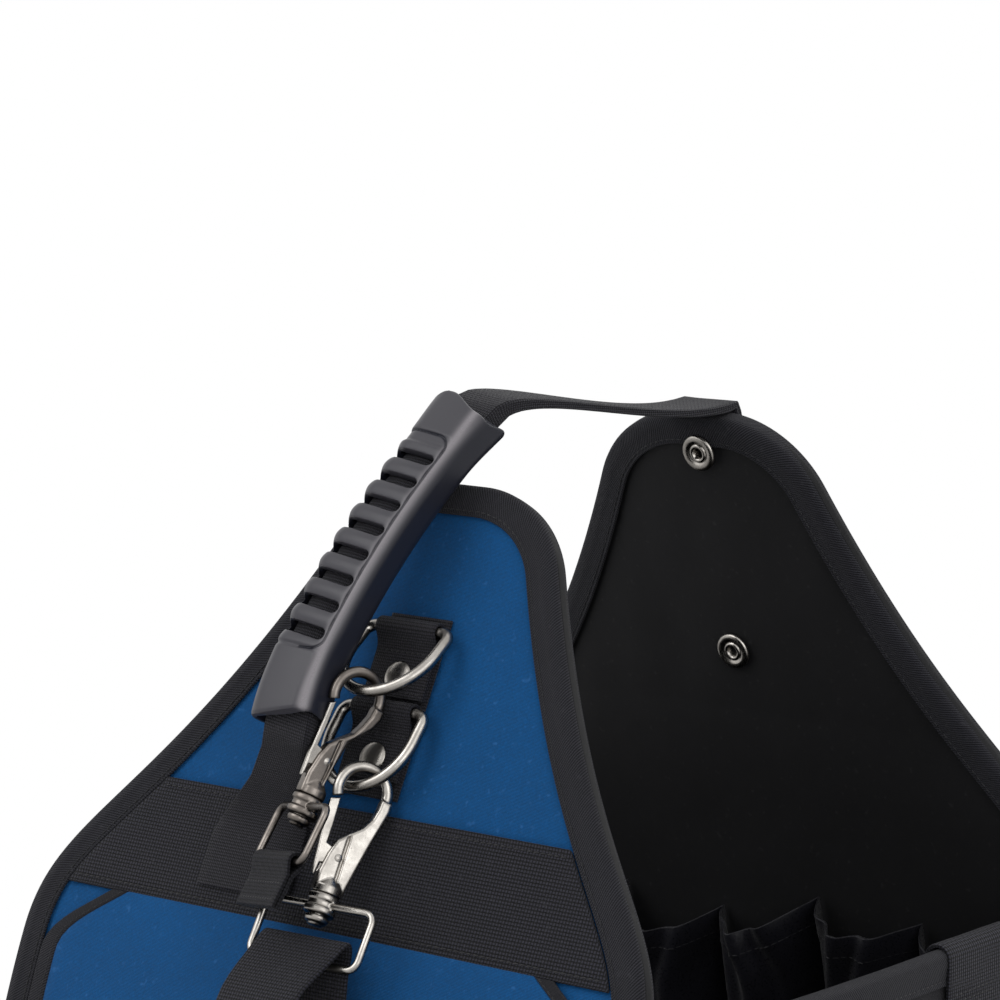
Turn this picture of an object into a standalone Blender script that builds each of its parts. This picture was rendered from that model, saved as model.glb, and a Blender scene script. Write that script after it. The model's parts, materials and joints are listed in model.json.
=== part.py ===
"""Open-top tool bag with two leaning stiffened end panels, a webbing handle with a moulded grip,
D-rings, two swivel snap hooks and a folded shoulder strap.

Metres, +Z up. X is across the bag, Y is along it with the front end at -Y, and the origin is the
middle of the base's flat underside. Angles are in degrees where a name ends in _ANGLE or _LEAN.
"""

import math

import bmesh
import bpy
from mathutils import Matrix, Vector

MM = 0.001

GAP = 0.3 * MM
CUT_OVERRUN = 5.0 * MM

# Bag as a whole
BASE_LENGTH = 375.8 * MM
BEND_HEIGHT = 202.0 * MM
UPPER_LENGTH = 185.0 * MM
FRONT_LEAN = 27.0
REAR_LEAN = 15.5
PANEL_THICKNESS = 8.0 * MM
HALF_WIDTH = 161.5 * MM

# Outline of an end panel, from the middle of its top edge
TOP_FLAT = 10.0 * MM
TOP_RADIUS = 52.0 * MM
SHOULDER_ANGLE = 24.5
FLANK_HANDLE = 138.0 * MM
SIDE_HANDLE = 54.0 * MM
FLANK_DEPTH = 215.0 * MM
ARC_STEPS = 7
FLANK_STEPS = 11
SIDE_STEPS = 6

# Woven binding tape, folded over the edges
BINDING_COVER = 12.5 * MM
BINDING_THICKNESS = 1.2 * MM

# Moulded base
BASE_WALL = 3.0 * MM
BASE_FLOOR = 4.0 * MM
BASE_HEIGHT = 30.0 * MM
BASE_CORNER = 14.0 * MM
BASE_EDGE_ROUNDING = 3.0 * MM
FLOOR_BOARD_THICKNESS = 5.0 * MM

# Side walls
WALL_THICKNESS = 4.0 * MM
WALL_HEIGHT = 176.0 * MM
WALL_BULGE = 6.0 * MM
WALL_COLUMNS = 9
WALL_ROWS = 6
WALL_BINDING_COVER = 12.5 * MM
END_ROOM = 0.6 * MM

# Wide webbing, used for the bands, the open handle end and the shoulder strap
WEBBING_WIDTH = 50.0 * MM
WEBBING_THICKNESS = 1.8 * MM
BAND_DEPTH = 141.0 * MM
BAND_ROWS = 8

# Outer patch pockets under the bands
POCKET_THICKNESS = 2.4 * MM
POCKET_CROWN = 2.0 * MM
POCKET_HALF_TOP = 117.0 * MM
POCKET_SHOULDER_DROP = 30.0 * MM
POCKET_BINDING_WIDTH = 9.0 * MM

# Inner pleated pocket strips
INNER_POCKET_TOP = 152.0 * MM
INNER_POCKET_BOTTOM = 14.0 * MM
INNER_POCKET_DEPTH = 26.0 * MM
INNER_POCKET_SHEET = 2.0 * MM
INNER_POCKET_HALF_SPAN = 138.0 * MM
INNER_POCKET_COUNT = 5
INNER_POCKET_TOP_WAVE = 8.0 * MM
PLEAT_STEPS = 8

# Outer side pockets and the webbing over the side walls
SIDE_POCKET_HALF_LENGTH = 78.0 * MM
SIDE_POCKET_MIDDLE = -35.0 * MM
SIDE_POCKET_TOP = 138.0 * MM
SIDE_POCKET_DEPTH = 16.0 * MM
SIDE_POCKET_SHEET = 2.0 * MM
SIDE_WEBBING_PLACE = 75.6 * MM
SIDE_WEBBING_INSIDE_DROP = 42.0 * MM
SIDE_WEBBING_BOTTOM = 34.0 * MM

# Ring strip, its tabs and the rivets on the front panel
STRIP_WIDTH = 32.0 * MM
STRIP_THICKNESS = 1.4 * MM
STRIP_TOP_DEPTH = 57.0 * MM
STRIP_BOTTOM_DEPTH = 134.0 * MM
UPPER_RING_DEPTH = 64.0 * MM
LOWER_RING_DEPTH = 98.5 * MM
TAB_LENGTH = 28.5 * MM
RIVET_BELOW_RING = 20.0 * MM

RING_WIRE_RADIUS = 2.4 * MM
RING_HALF_WIDTH = 21.5 * MM
RING_CORNER_RADIUS = 4.5 * MM
RING_HEIGHT = 36.0 * MM
RING_SHOULDER = 12.0 * MM
UPPER_RING_SWING = 27.5
LOWER_RING_SWING = 13.0

RIVET_HEAD_RADIUS = 6.0 * MM
RIVET_HEAD_HEIGHT = 2.4 * MM
RIVET_SHANK_RADIUS = 2.6 * MM
RIVET_FLANGE_RADIUS = 7.4 * MM
RIVET_FLANGE_THICKNESS = 1.6 * MM
RIVET_BORE_RADIUS = 1.7 * MM
RIVET_HOLE_CLEARANCE = 0.3 * MM

# Handle strap: folded double along most of its length, open at its front end
HANDLE_WIDTH = 31.0 * MM
HANDLE_THICKNESS = 4.0 * MM
HANDLE_REAR_END_DEPTH = 128.0 * MM
HANDLE_REAR_RIVET_DEPTHS = (15.5 * MM, 111.5 * MM)
# Where the strap opens out below the grip: (x, depth, off, width, thickness)
HANDLE_FRONT_PLACES = [tuple(value * MM for value in row) for row in (
    (-34.0, 128.0, 24.0, 24.5, 5.4), (-39.5, 137.0, 14.0, 28.0, 3.8), (-42.0, 145.5, 6.8, 38.0, 2.6),
    (-43.0, 153.0, 3.3, 46.0, 1.8), (-43.0, 162.0, 3.3, 50.0, 1.8), (-43.0, 182.0, 3.3, 50.0, 1.8))]

# Grip, a curved sleeve round the handle strap
GRIP_UPPER_X = -5.0 * MM
GRIP_UPPER_FORWARD = 15.5 * MM
GRIP_UPPER_RISE = 30.5 * MM
GRIP_LOWER_X = -28.5 * MM
GRIP_LOWER_DEPTH = 115.0 * MM
GRIP_LOWER_OFF = 33.5 * MM
GRIP_SAGITTA = 9.5 * MM
GRIP_WIDTH = 31.0 * MM
GRIP_DEPTH = 21.0 * MM
GRIP_END_SWELL = 1.5 * MM
GRIP_CORNER = 6.5 * MM
GRIP_STATIONS = 17
BORE_STEPS = 10
GRIP_STRAP_WIDTH = 24.5 * MM
GRIP_STRAP_THICKNESS = 6.0 * MM
SLOT_COUNT = 8
SLOT_PITCH = 11.4 * MM
SLOT_WIDTH = 5.2 * MM
SLOT_LENGTH = 17.0 * MM
SLOT_FIRST = 29.0 * MM

# Swivel snap hooks
HOOK_WIRE_RADIUS = 2.3 * MM
HOOK_RING_RADIUS = 10.4 * MM
HOOK_NOSE_ANGLE = 208.0
HOOK_THICKNESS = 6.0 * MM
HOOK_BODY_LENGTH = 44.0 * MM
HOOK_BODY_HALF_BOTTOM = 6.0 * MM
HOOK_MOUTH_BOTTOM = 17.0 * MM
# The hook's flat lower body and, below, its gate's bar, from the middle of its eye
HOOK_WEDGE = [(x * MM, y * MM) for x, y in (
    (12.7, 0.0), (12.9, -4.0), (12.0, -9.0), (10.2, -18.0), (8.2, -30.0), (6.0, -44.0), (-6.0, -44.0),
    (-6.5, -36.0), (-5.4, -28.0), (-3.6, -22.0), (1.0, -17.2), (4.6, -13.6), (7.0, -9.0), (8.0, -4.0), (8.1, 0.0))]
GATE_BAR = [(x * MM, y * MM) for x, y in (
    (-2.0, -25.8), (-7.0, -24.5), (-7.2, -17.0), (-8.0, -5.6), (-11.8, -7.2), (-11.2, -17.0), (-9.6, -29.0),
    (-8.6, -38.0), (-7.6, -38.4), (-7.2, -33.0), (-2.0, -32.2))]
GATE_PIVOT = (-1.0 * MM, -29.0 * MM)
GATE_PIN_RADIUS = 1.2 * MM
GATE_THICKNESS = 2.4 * MM
GATE_SLOT_WIDTH = 3.2 * MM
GATE_EAR_RADIUS = 3.2 * MM
SWIVEL_BOSS_RADIUS = 6.6 * MM
SWIVEL_BOSS_HEIGHT = 8.4 * MM
SWIVEL_STUD_RADIUS = 2.8 * MM
SWIVEL_HEAD_RADIUS = 5.0 * MM
SWIVEL_HEAD_HEIGHT = 3.6 * MM
LOOP_WIRE_RADIUS = 2.0 * MM
LOOP_HALF_WIDTH = 28.0 * MM
LOOP_HEIGHT = 24.0 * MM
LOOP_CORNER = 4.5 * MM
LOOP_STRAP_WIDTH = 44.0 * MM

# Where the hooks hang, in the front panel's frame
UPPER_HOOK_X = -1.0 * MM
UPPER_HOOK_ROLL = -6.2
UPPER_HOOK_YAW = 68.0
UPPER_HOOK_PITCH = 5.5
LOWER_HOOK_X = 8.5 * MM
LOWER_HOOK_ROLL = 1.0
LOWER_HOOK_YAW = 57.0
LOWER_HOOK_PITCH = 5.5
UPPER_LOOP_TURN = 82.0
LOWER_LOOP_TURN = -57.0
HOOK_SLACK = 2.2 * MM

# Shoulder strap, put away in a folded hank below the lower hook, in depths down the front panel
HANK_TOP_DEPTH = 238.0 * MM
HANK_BOTTOM_DEPTH = 322.0 * MM
HANK_INNER_OFF = 12.8 * MM
HANK_RUNS = 6
HANK_PITCH = 3.4 * MM
STRAP_BACK_OFF = 9.2 * MM
STRAP_BACK_DEPTH = 300.0 * MM
KEEPER_WIDTH = 25.0 * MM
KEEPER_DEPTH = 278.0 * MM
KEEPER_ROOM = 0.8 * MM
STRAP_STEP = 16.0 * MM
END_TAB_LENGTH = 20.0 * MM

CURVE_SIDES = 2
ROUND_STEPS = 20

COLOURS = {
    "blue_fabric": ((0.013, 0.085, 0.235), 0.85, 0.0),
    "black_fabric": ((0.018, 0.018, 0.021), 0.9, 0.0),
    "black_webbing": ((0.022, 0.022, 0.026), 0.8, 0.0),
    "grip_plastic": ((0.045, 0.048, 0.055), 0.42, 0.0),
    "base_plastic": ((0.02, 0.02, 0.022), 0.5, 0.0),
    "nickel": ((0.62, 0.58, 0.52), 0.3, 1.0),
}


def clear_scene():
    for obj in list(bpy.data.objects):
        bpy.data.objects.remove(obj)


def new_collection(name):
    found = bpy.data.collections.new(name)
    bpy.context.scene.collection.children.link(found)
    return found


clear_scene()
PARTS = new_collection("open_top_tool_bag")
CUTTERS = new_collection("cutters")
CUTTERS.hide_render = True


def material(node, finish):
    colour, roughness, metallic = COLOURS[finish]
    made = bpy.data.materials.new(node)
    made.use_nodes = True
    shader = made.node_tree.nodes["Principled BSDF"]
    shader.inputs["Base Color"].default_value = (*colour, 1.0)
    shader.inputs["Roughness"].default_value = roughness
    shader.inputs["Metallic"].default_value = metallic
    made.diffuse_color = (*colour, 1.0)
    return made


def add_part(name, mesh, finish, matrix=None, smooth=True):
    mesh.name = name
    obj = bpy.data.objects.new(name, mesh)
    PARTS.objects.link(obj)
    if matrix is not None:
        obj.matrix_world = matrix
    mesh.materials.clear()
    mesh.materials.append(material(name, finish))
    if smooth:
        mesh.shade_smooth()
        mesh.set_sharp_from_angle(angle=math.radians(40))
    return obj


def add_cutter(name, mesh, matrix=None):
    obj = bpy.data.objects.new(name, mesh)
    CUTTERS.objects.link(obj)
    if matrix is not None:
        obj.matrix_world = matrix
    obj.display_type = "WIRE"
    obj.hide_render = True
    return obj


def boolean(obj, other, operation):
    modifier = obj.modifiers.new(other.name, "BOOLEAN")
    modifier.operation = operation
    modifier.object = other
    modifier.solver = "EXACT"


def mesh_of(obj):
    """The object's evaluated mesh, in its own axes and with its caps welded."""
    bpy.context.view_layer.update()
    graph = bpy.context.evaluated_depsgraph_get()
    mesh = bpy.data.meshes.new_from_object(obj.evaluated_get(graph))
    work = bmesh.new()
    work.from_mesh(mesh)
    bmesh.ops.remove_doubles(work, verts=work.verts, dist=0.001 * MM)
    bmesh.ops.recalc_face_normals(work, faces=work.faces)
    work.to_mesh(mesh)
    work.free()
    return mesh


def combined(mesh, others, operation):
    """The mesh after a Boolean with each of the other meshes, all in the same axes."""
    base = bpy.data.objects.new("combined", mesh)
    CUTTERS.objects.link(base)
    made = []
    for index, other in enumerate(others):
        tool = add_cutter(f"tool_{index}", other)
        boolean(base, tool, operation)
        made.append(tool)
    result = mesh_of(base)
    for obj in [base, *made]:
        bpy.data.objects.remove(obj)
    return result


def loft(rings, closed=False):
    """A closed mesh through rings of points that match one to one. closed joins the last to the first."""
    work = bmesh.new()
    rows = [[work.verts.new(point) for point in ring] for ring in rings]
    pairs = list(zip(rows, rows[1:]))
    if closed:
        pairs.append((rows[-1], rows[0]))
    for first, second in pairs:
        for i in range(len(first)):
            j = (i + 1) % len(first)
            work.faces.new((first[i], first[j], second[j], second[i]))
    if not closed:
        work.faces.new(list(reversed(rows[0])))
        work.faces.new(rows[-1])
    bmesh.ops.recalc_face_normals(work, faces=work.faces)
    mesh = bpy.data.meshes.new("loft")
    work.to_mesh(mesh)
    work.free()
    return mesh


def plate(front, back):
    """A closed plate between two grids of points of the same size, row by row."""
    work = bmesh.new()
    faces = [[[work.verts.new(point) for point in row] for row in grid] for grid in (front, back)]
    rows, columns = len(front), len(front[0])
    for side, grid in enumerate(faces):
        for i in range(rows - 1):
            for j in range(columns - 1):
                corners = [grid[i][j], grid[i][j + 1], grid[i + 1][j + 1], grid[i + 1][j]]
                work.faces.new(corners if side else corners[::-1])
    rim = [(0, j) for j in range(columns)] + [(i, columns - 1) for i in range(1, rows)]
    rim += [(rows - 1, j) for j in range(columns - 2, -1, -1)] + [(i, 0) for i in range(rows - 2, 0, -1)]
    for (a, b), (c, d) in zip(rim, rim[1:] + rim[:1]):
        work.faces.new((faces[0][a][b], faces[0][c][d], faces[1][c][d], faces[1][a][b]))
    bmesh.ops.recalc_face_normals(work, faces=work.faces)
    mesh = bpy.data.meshes.new("plate")
    work.to_mesh(mesh)
    work.free()
    return mesh


def flat_shape(outlines, thickness):
    """A flat outline in XY, with any holes, extruded half its thickness each way along Z."""
    curve = bpy.data.curves.new("outline", "CURVE")
    curve.dimensions = "2D"
    curve.fill_mode = "BOTH"
    curve.extrude = thickness / 2
    for outline in outlines:
        spline = curve.splines.new("POLY")
        spline.points.add(len(outline) - 1)
        for point, (x, y) in zip(spline.points, outline):
            point.co = (x, y, 0, 1)
        spline.use_cyclic_u = True
    obj = bpy.data.objects.new("outline", curve)
    CUTTERS.objects.link(obj)
    mesh = mesh_of(obj)
    bpy.data.objects.remove(obj)
    return mesh


def wire(points, radius, cyclic=False, resolution=CURVE_SIDES):
    """A round wire through the points, as a mesh with filled and welded caps."""
    curve = bpy.data.curves.new("wire", "CURVE")
    curve.dimensions = "3D"
    curve.bevel_depth = radius
    curve.bevel_resolution = resolution
    curve.use_fill_caps = not cyclic
    spline = curve.splines.new("POLY")
    spline.points.add(len(points) - 1)
    for point, place in zip(spline.points, points):
        point.co = (*place, 1)
    spline.use_cyclic_u = cyclic
    obj = bpy.data.objects.new("wire", curve)
    CUTTERS.objects.link(obj)
    mesh = mesh_of(obj)
    bpy.data.objects.remove(obj)
    return mesh


def turned(profile, steps=ROUND_STEPS):
    """A profile of (radius, height) pairs, from top to bottom down its outer side, turned about Z."""
    mesh = bpy.data.meshes.new("profile")
    mesh.from_pydata([(radius, 0, height) for radius, height in profile],
                     [(i, i + 1) for i in range(len(profile) - 1)], [])
    obj = bpy.data.objects.new("profile", mesh)
    CUTTERS.objects.link(obj)
    modifier = obj.modifiers.new("turn", "SCREW")
    modifier.axis = "Z"
    modifier.steps = modifier.render_steps = steps
    modifier.use_merge_vertices = True
    modifier.merge_threshold = 0.00001
    result = mesh_of(obj)
    bpy.data.objects.remove(obj)
    return result


def box(low, high):
    work = bmesh.new()
    bmesh.ops.create_cube(work, size=1)
    size = [b - a for a, b in zip(low, high)]
    middle = [(a + b) / 2 for a, b in zip(low, high)]
    bmesh.ops.scale(work, vec=size, verts=work.verts)
    bmesh.ops.translate(work, vec=middle, verts=work.verts)
    mesh = bpy.data.meshes.new("box")
    work.to_mesh(mesh)
    work.free()
    return mesh


def cylinder(radius, low, high, axis="Z", steps=ROUND_STEPS):
    work = bmesh.new()
    bmesh.ops.create_cone(work, cap_ends=True, segments=steps, radius1=radius, radius2=radius, depth=high - low)
    bmesh.ops.translate(work, vec=(0, 0, (low + high) / 2), verts=work.verts)
    turn = {"Z": Matrix(), "Y": Matrix.Rotation(math.radians(-90), 4, "X"), "X": Matrix.Rotation(math.radians(90), 4, "Y")}
    work.transform(turn[axis])
    mesh = bpy.data.meshes.new("cylinder")
    work.to_mesh(mesh)
    work.free()
    return mesh


def moved(mesh, matrix):
    mesh.transform(matrix)
    return mesh


def axes(x, y, z, place):
    """The matrix that takes local axes to these directions, at this place."""
    rows = Matrix((x, y, z)).transposed().to_4x4()
    rows.translation = place
    return rows


def arc(centre, radius, start, end, steps):
    """Points on a circle in a plane, from one angle to another in degrees, both ends included."""
    found = []
    for i in range(steps + 1):
        angle = math.radians(start + (end - start) * i / steps)
        found.append((centre[0] + radius * math.cos(angle), centre[1] + radius * math.sin(angle)))
    return found


def rounded_rectangle(half_x, half_y, radius, steps=3):
    found = []
    for sign_x, sign_y, start in ((1, 1, 0), (-1, 1, 90), (-1, -1, 180), (1, -1, 270)):
        centre = (sign_x * (half_x - radius), sign_y * (half_y - radius))
        found += arc(centre, radius, start, start + 90, steps)
    return found


class End:
    """A leaning end panel. Depth runs down its face from its top edge, and off is outwards from its
    reference face: the front panel's outer face and the rear panel's inner face."""

    def __init__(self, sign, lean, face_half_length):
        self.sign = sign
        self.lean = math.radians(lean)
        self.face = face_half_length
        self.radius = BEND_HEIGHT / math.sin(self.lean)
        self.length = UPPER_LENGTH + self.radius * self.lean

    def angle(self, depth):
        return self.lean if depth <= UPPER_LENGTH else self.lean - (depth - UPPER_LENGTH) / self.radius

    def outward(self, depth):
        angle = self.angle(depth)
        return Vector((0, self.sign * math.cos(angle), math.sin(angle)))

    def up(self, depth):
        angle = self.angle(depth)
        return Vector((0, -self.sign * math.sin(angle), math.cos(angle)))

    def point(self, x, depth, off):
        angle = self.angle(depth)
        inward = self.radius * (1 - math.cos(angle))
        height = self.radius * math.sin(angle)
        if depth <= UPPER_LENGTH:
            inward += (UPPER_LENGTH - depth) * math.sin(self.lean)
            height += (UPPER_LENGTH - depth) * math.cos(self.lean)
        return Vector((x, self.sign * (self.face - inward), height)) + off * self.outward(depth)

    def frame(self, x, depth, off):
        """Local X across, Y up the panel and Z outwards, at a point on the panel."""
        up, out = self.up(depth), self.outward(depth)
        return axes(up.cross(out), up, out, self.point(x, depth, off))

    def depth_at(self, height, off=0.0):
        """The depth at which the lower, curved stretch reaches a height."""
        return UPPER_LENGTH + self.radius * (self.lean - math.asin(height / (self.radius + off)))

    def face_at(self, height, off):
        """The Y of the surface at this off, at a height on the lower, curved stretch."""
        return self.sign * (self.face - self.radius + math.sqrt((self.radius + off) ** 2 - height ** 2))

    def locate(self, point):
        """(depth, off) of a point beside the lower, curved stretch."""
        out = self.sign * point.y - self.face + self.radius
        angle = math.atan2(point.z, out)
        return UPPER_LENGTH + self.radius * (self.lean - angle), math.hypot(out, point.z) - self.radius


FRONT = End(-1, FRONT_LEAN, BASE_LENGTH / 2)
REAR = End(1, REAR_LEAN, BASE_LENGTH / 2 - PANEL_THICKNESS)
FACE_OFFS = {FRONT: (-PANEL_THICKNESS, 0.0), REAR: (0.0, PANEL_THICKNESS)}
PANEL_FOOT = BASE_FLOOR + GAP


def half_outline(end):
    """(half width, depth) down one edge of an end panel: the top corner, the flank and the side."""
    shoulder = math.radians(SHOULDER_ANGLE)
    points = []
    for i in range(ARC_STEPS + 1):
        turn = (math.pi / 2 - shoulder) * i / ARC_STEPS
        points.append((TOP_FLAT + TOP_RADIUS * math.sin(turn), TOP_RADIUS * (1 - math.cos(turn))))
    start = Vector(points[-1])
    handle = start + FLANK_HANDLE * Vector((math.sin(shoulder), math.cos(shoulder)))
    finish = Vector((HALF_WIDTH, FLANK_DEPTH))
    side_handle = finish - Vector((0, SIDE_HANDLE))
    for i in range(1, FLANK_STEPS + 1):
        t = i / FLANK_STEPS
        points.append(tuple((1 - t) ** 3 * start + 3 * (1 - t) ** 2 * t * handle
                            + 3 * (1 - t) * t * t * side_handle + t ** 3 * finish))
    foot = end.depth_at(PANEL_FOOT)
    for i in range(1, SIDE_STEPS + 1):
        points.append((HALF_WIDTH, FLANK_DEPTH + (foot - FLANK_DEPTH) * i / SIDE_STEPS))
    return points


def edge_path(end):
    """Edge points of a panel from its left foot over the top to its right foot, with inward normals."""
    right = half_outline(end)
    points = [(-x, v) for x, v in reversed(right)] + right
    found = []
    for i, (x, v) in enumerate(points):
        before = points[max(i - 1, 0)]
        after = points[min(i + 1, len(points) - 1)]
        along = Vector((after[0] - before[0], after[1] - before[1])).normalized()
        found.append((Vector((x, v)), Vector((-along.y, along.x))))
    return found


def half_width_inside(end, depth, clear):
    """Half width at a depth, less a clearance that is measured square to the panel's edge."""
    inside = [place + inward * clear for place, inward in edge_path(end) if place.x > 0]
    for first, second in zip(inside, inside[1:]):
        if first.y <= depth <= second.y:
            return first.x + (second.x - first.x) * (depth - first.y) / (second.y - first.y)
    return inside[-1].x


def sheet_on(end, rows, low, high):
    """A solid on an end panel: rows of (left x, right x, depth), between two offs."""
    rings = []
    for left, right, depth in rows:
        rings.append([end.point(x, depth, off)
                      for x, off in ((left, low), (right, low), (right, high), (left, high))])
    return loft(rings)


def rivet_places(end):
    """(x, depth) of each rivet through an end panel."""
    if end is FRONT:
        return [(0.0, depth + RIVET_BELOW_RING) for depth in (UPPER_RING_DEPTH, LOWER_RING_DEPTH)]
    return [(0.0, depth) for depth in HANDLE_REAR_RIVET_DEPTHS]


def rivet_holes(end):
    """Cutters for the rivets' holes, longer than all the layers that they pass."""
    radius = RIVET_SHANK_RADIUS + RIVET_HOLE_CLEARANCE
    reach = PANEL_THICKNESS + HANDLE_THICKNESS + CUT_OVERRUN
    return [moved(cylinder(radius, -reach, 2 * reach, steps=12), end.frame(x, depth, 0.0))
            for x, depth in rivet_places(end)]


def end_panel(name, end, finish):
    low, high = FACE_OFFS[end]
    rows = [(-x, x, depth) for x, depth in half_outline(end)]
    mesh = combined(sheet_on(end, rows, low, high), rivet_holes(end), "DIFFERENCE")
    add_part(name, mesh, finish, smooth=False)


def panel_binding(name, end):
    """Tape folded over the panel's edge: a U section carried along the edge."""
    low, high = FACE_OFFS[end]
    inner, outer = GAP, GAP + BINDING_THICKNESS
    section = [(BINDING_COVER, high + outer), (-outer, high + outer), (-outer, low - outer),
               (BINDING_COVER, low - outer), (BINDING_COVER, low - inner), (-inner, low - inner),
               (-inner, high + inner), (BINDING_COVER, high + inner)]
    rings = []
    for place, inward in edge_path(end):
        ring = []
        for across, off in section:
            spot = place + inward * across
            ring.append(end.point(spot.x, spot.y, off))
        rings.append(ring)
    add_part(name, loft(rings), "black_webbing", smooth=False)


def outer_off(end):
    return FACE_OFFS[end][1]


def band(name, end):
    """Wide webbing across the outer face, ending at the binding on each side."""
    rows = []
    for i in range(BAND_ROWS + 1):
        depth = BAND_DEPTH + WEBBING_WIDTH * i / BAND_ROWS
        reach = half_width_inside(end, depth, BINDING_COVER + 2 * GAP)
        rows.append((-reach, reach, depth))
    low = outer_off(end) + GAP
    add_part(name, sheet_on(end, rows, low, low + WEBBING_THICKNESS), "black_webbing", smooth=False)


def pocket_half_width(end, depth):
    """Half width of the patch pocket: full below its shoulders, narrower at its top."""
    top = BAND_DEPTH + WEBBING_WIDTH + GAP
    full = half_width_inside(end, depth, BINDING_COVER + 2 * GAP)
    share = min((depth - top) / POCKET_SHOULDER_DROP, 1.0)
    narrow = POCKET_HALF_TOP + (full - POCKET_HALF_TOP) * math.sin(share * math.pi / 2)
    return min(full, narrow)


def pocket_depths(end):
    top = BAND_DEPTH + WEBBING_WIDTH + GAP
    foot = end.depth_at(BASE_HEIGHT + GAP)
    shoulder = [top + POCKET_SHOULDER_DROP * i / 4 for i in range(5)]
    return shoulder + [shoulder[-1] + (foot - shoulder[-1]) * i / 5 for i in range(1, 6)]


def patch_pocket(name, end, finish):
    """A flat pocket sewn on under the band, slightly crowned by its padding."""
    depths = pocket_depths(end)
    low = outer_off(end) + GAP
    columns = 8
    front, back = [], []
    for row, depth in enumerate(depths):
        half = pocket_half_width(end, depth) - POCKET_BINDING_WIDTH - GAP
        across = [half * (2 * j / columns - 1) for j in range(columns + 1)]
        rise = math.sin(math.pi * row / (len(depths) - 1))
        front.append([end.point(x, depth, low + POCKET_THICKNESS
                                + POCKET_CROWN * rise * math.cos(math.pi * x / (2 * half))) for x in across])
        back.append([end.point(x, depth, low) for x in across])
    add_part(name, plate(front, back), finish)


def pocket_binding(name, end, side):
    """The bound edge down one side of a patch pocket."""
    rows = []
    for depth in pocket_depths(end):
        outer = pocket_half_width(end, depth)
        inner = outer - POCKET_BINDING_WIDTH
        rows.append((side * inner, side * outer, depth) if side > 0 else (-outer, -inner, depth))
    low = outer_off(end) + GAP
    add_part(name, sheet_on(end, rows, low, low + POCKET_THICKNESS), "black_webbing", smooth=False)


def moulded_base():
    """A shallow tray with rounded corners that the walls stand in, ribbed round its outside."""
    inside_x = HALF_WIDTH + BINDING_THICKNESS + 2 * GAP
    inside_y = BASE_LENGTH / 2 + BINDING_THICKNESS + 2 * GAP
    outside = rounded_rectangle(inside_x + BASE_WALL, inside_y + BASE_WALL, BASE_CORNER, 5)
    body = flat_shape([outside], BASE_HEIGHT)
    body = moved(body, Matrix.Translation((0, 0, BASE_HEIGHT / 2)))
    work = bmesh.new()
    work.from_mesh(body)
    low_edges = [edge for edge in work.edges
                 if all(abs(vert.co.z) < GAP for vert in edge.verts) and len(edge.link_faces) == 2
                 and abs(edge.link_faces[0].normal.z - edge.link_faces[1].normal.z) > 0.5]
    bmesh.ops.bevel(work, geom=low_edges, offset=BASE_EDGE_ROUNDING, segments=2, profile=0.5, affect="EDGES")
    work.to_mesh(body)
    work.free()
    corner = BASE_CORNER - BASE_WALL
    hollow = flat_shape([rounded_rectangle(inside_x, inside_y, GAP + corner * 0.1, 2)], BASE_HEIGHT)
    hollow = moved(hollow, Matrix.Translation((0, 0, BASE_FLOOR + BASE_HEIGHT / 2)))
    add_part("moulded_base", combined(body, [hollow], "DIFFERENCE"), "base_plastic")


def inner_limit(end):
    """How far inwards of the reference face the binding's inner layer reaches."""
    return FACE_OFFS[end][0] - BINDING_THICKNESS - 2 * GAP


def inside_ends(height):
    """The Y of each end of the room between the end panels and their bindings, at a height."""
    return (FRONT.face_at(height, inner_limit(FRONT)) + END_ROOM, REAR.face_at(height, inner_limit(REAR)) - END_ROOM)


def floor_board():
    half_x = HALF_WIDTH - WALL_THICKNESS - 2 * GAP
    low_y, high_y = inside_ends(BASE_FLOOR + GAP + FLOOR_BOARD_THICKNESS)
    outline = [(x, y + (low_y + high_y) / 2)
               for x, y in rounded_rectangle(half_x, (high_y - low_y) / 2, FLOOR_BOARD_THICKNESS)]
    mesh = flat_shape([outline], FLOOR_BOARD_THICKNESS)
    mesh = moved(mesh, Matrix.Translation((0, 0, BASE_FLOOR + GAP + FLOOR_BOARD_THICKNESS / 2)))
    add_part("floor_board", mesh, "black_fabric", smooth=False)


def wall_bulge(share_y, share_z):
    return WALL_BULGE * math.sin(math.pi * share_y) * math.sin(math.pi * min(share_z, 1.0) / 2)


def wall_point(side, share_y, height, off):
    """A point on a side wall's outer face, or off it outwards."""
    low_y, high_y = inside_ends(height)
    rise = max(height - BASE_HEIGHT, 0.0) / (WALL_HEIGHT - BASE_HEIGHT)
    out = HALF_WIDTH - GAP + wall_bulge(share_y, rise) + off
    return Vector((side * out, low_y + (high_y - low_y) * share_y, height))


def wall_grid(side, heights, shares, off):
    return [[wall_point(side, share, height, off) for share in shares] for height in heights]


def side_wall(name, side):
    top = WALL_HEIGHT
    heights = [PANEL_FOOT, BASE_HEIGHT] + [BASE_HEIGHT + (top - BASE_HEIGHT) * i / WALL_ROWS
                                           for i in range(1, WALL_ROWS + 1)]
    shares = [j / (WALL_COLUMNS - 1) for j in range(WALL_COLUMNS)]
    mesh = plate(wall_grid(side, heights, shares, 0.0), wall_grid(side, heights, shares, -WALL_THICKNESS))
    add_part(name, mesh, "black_fabric")


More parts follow.
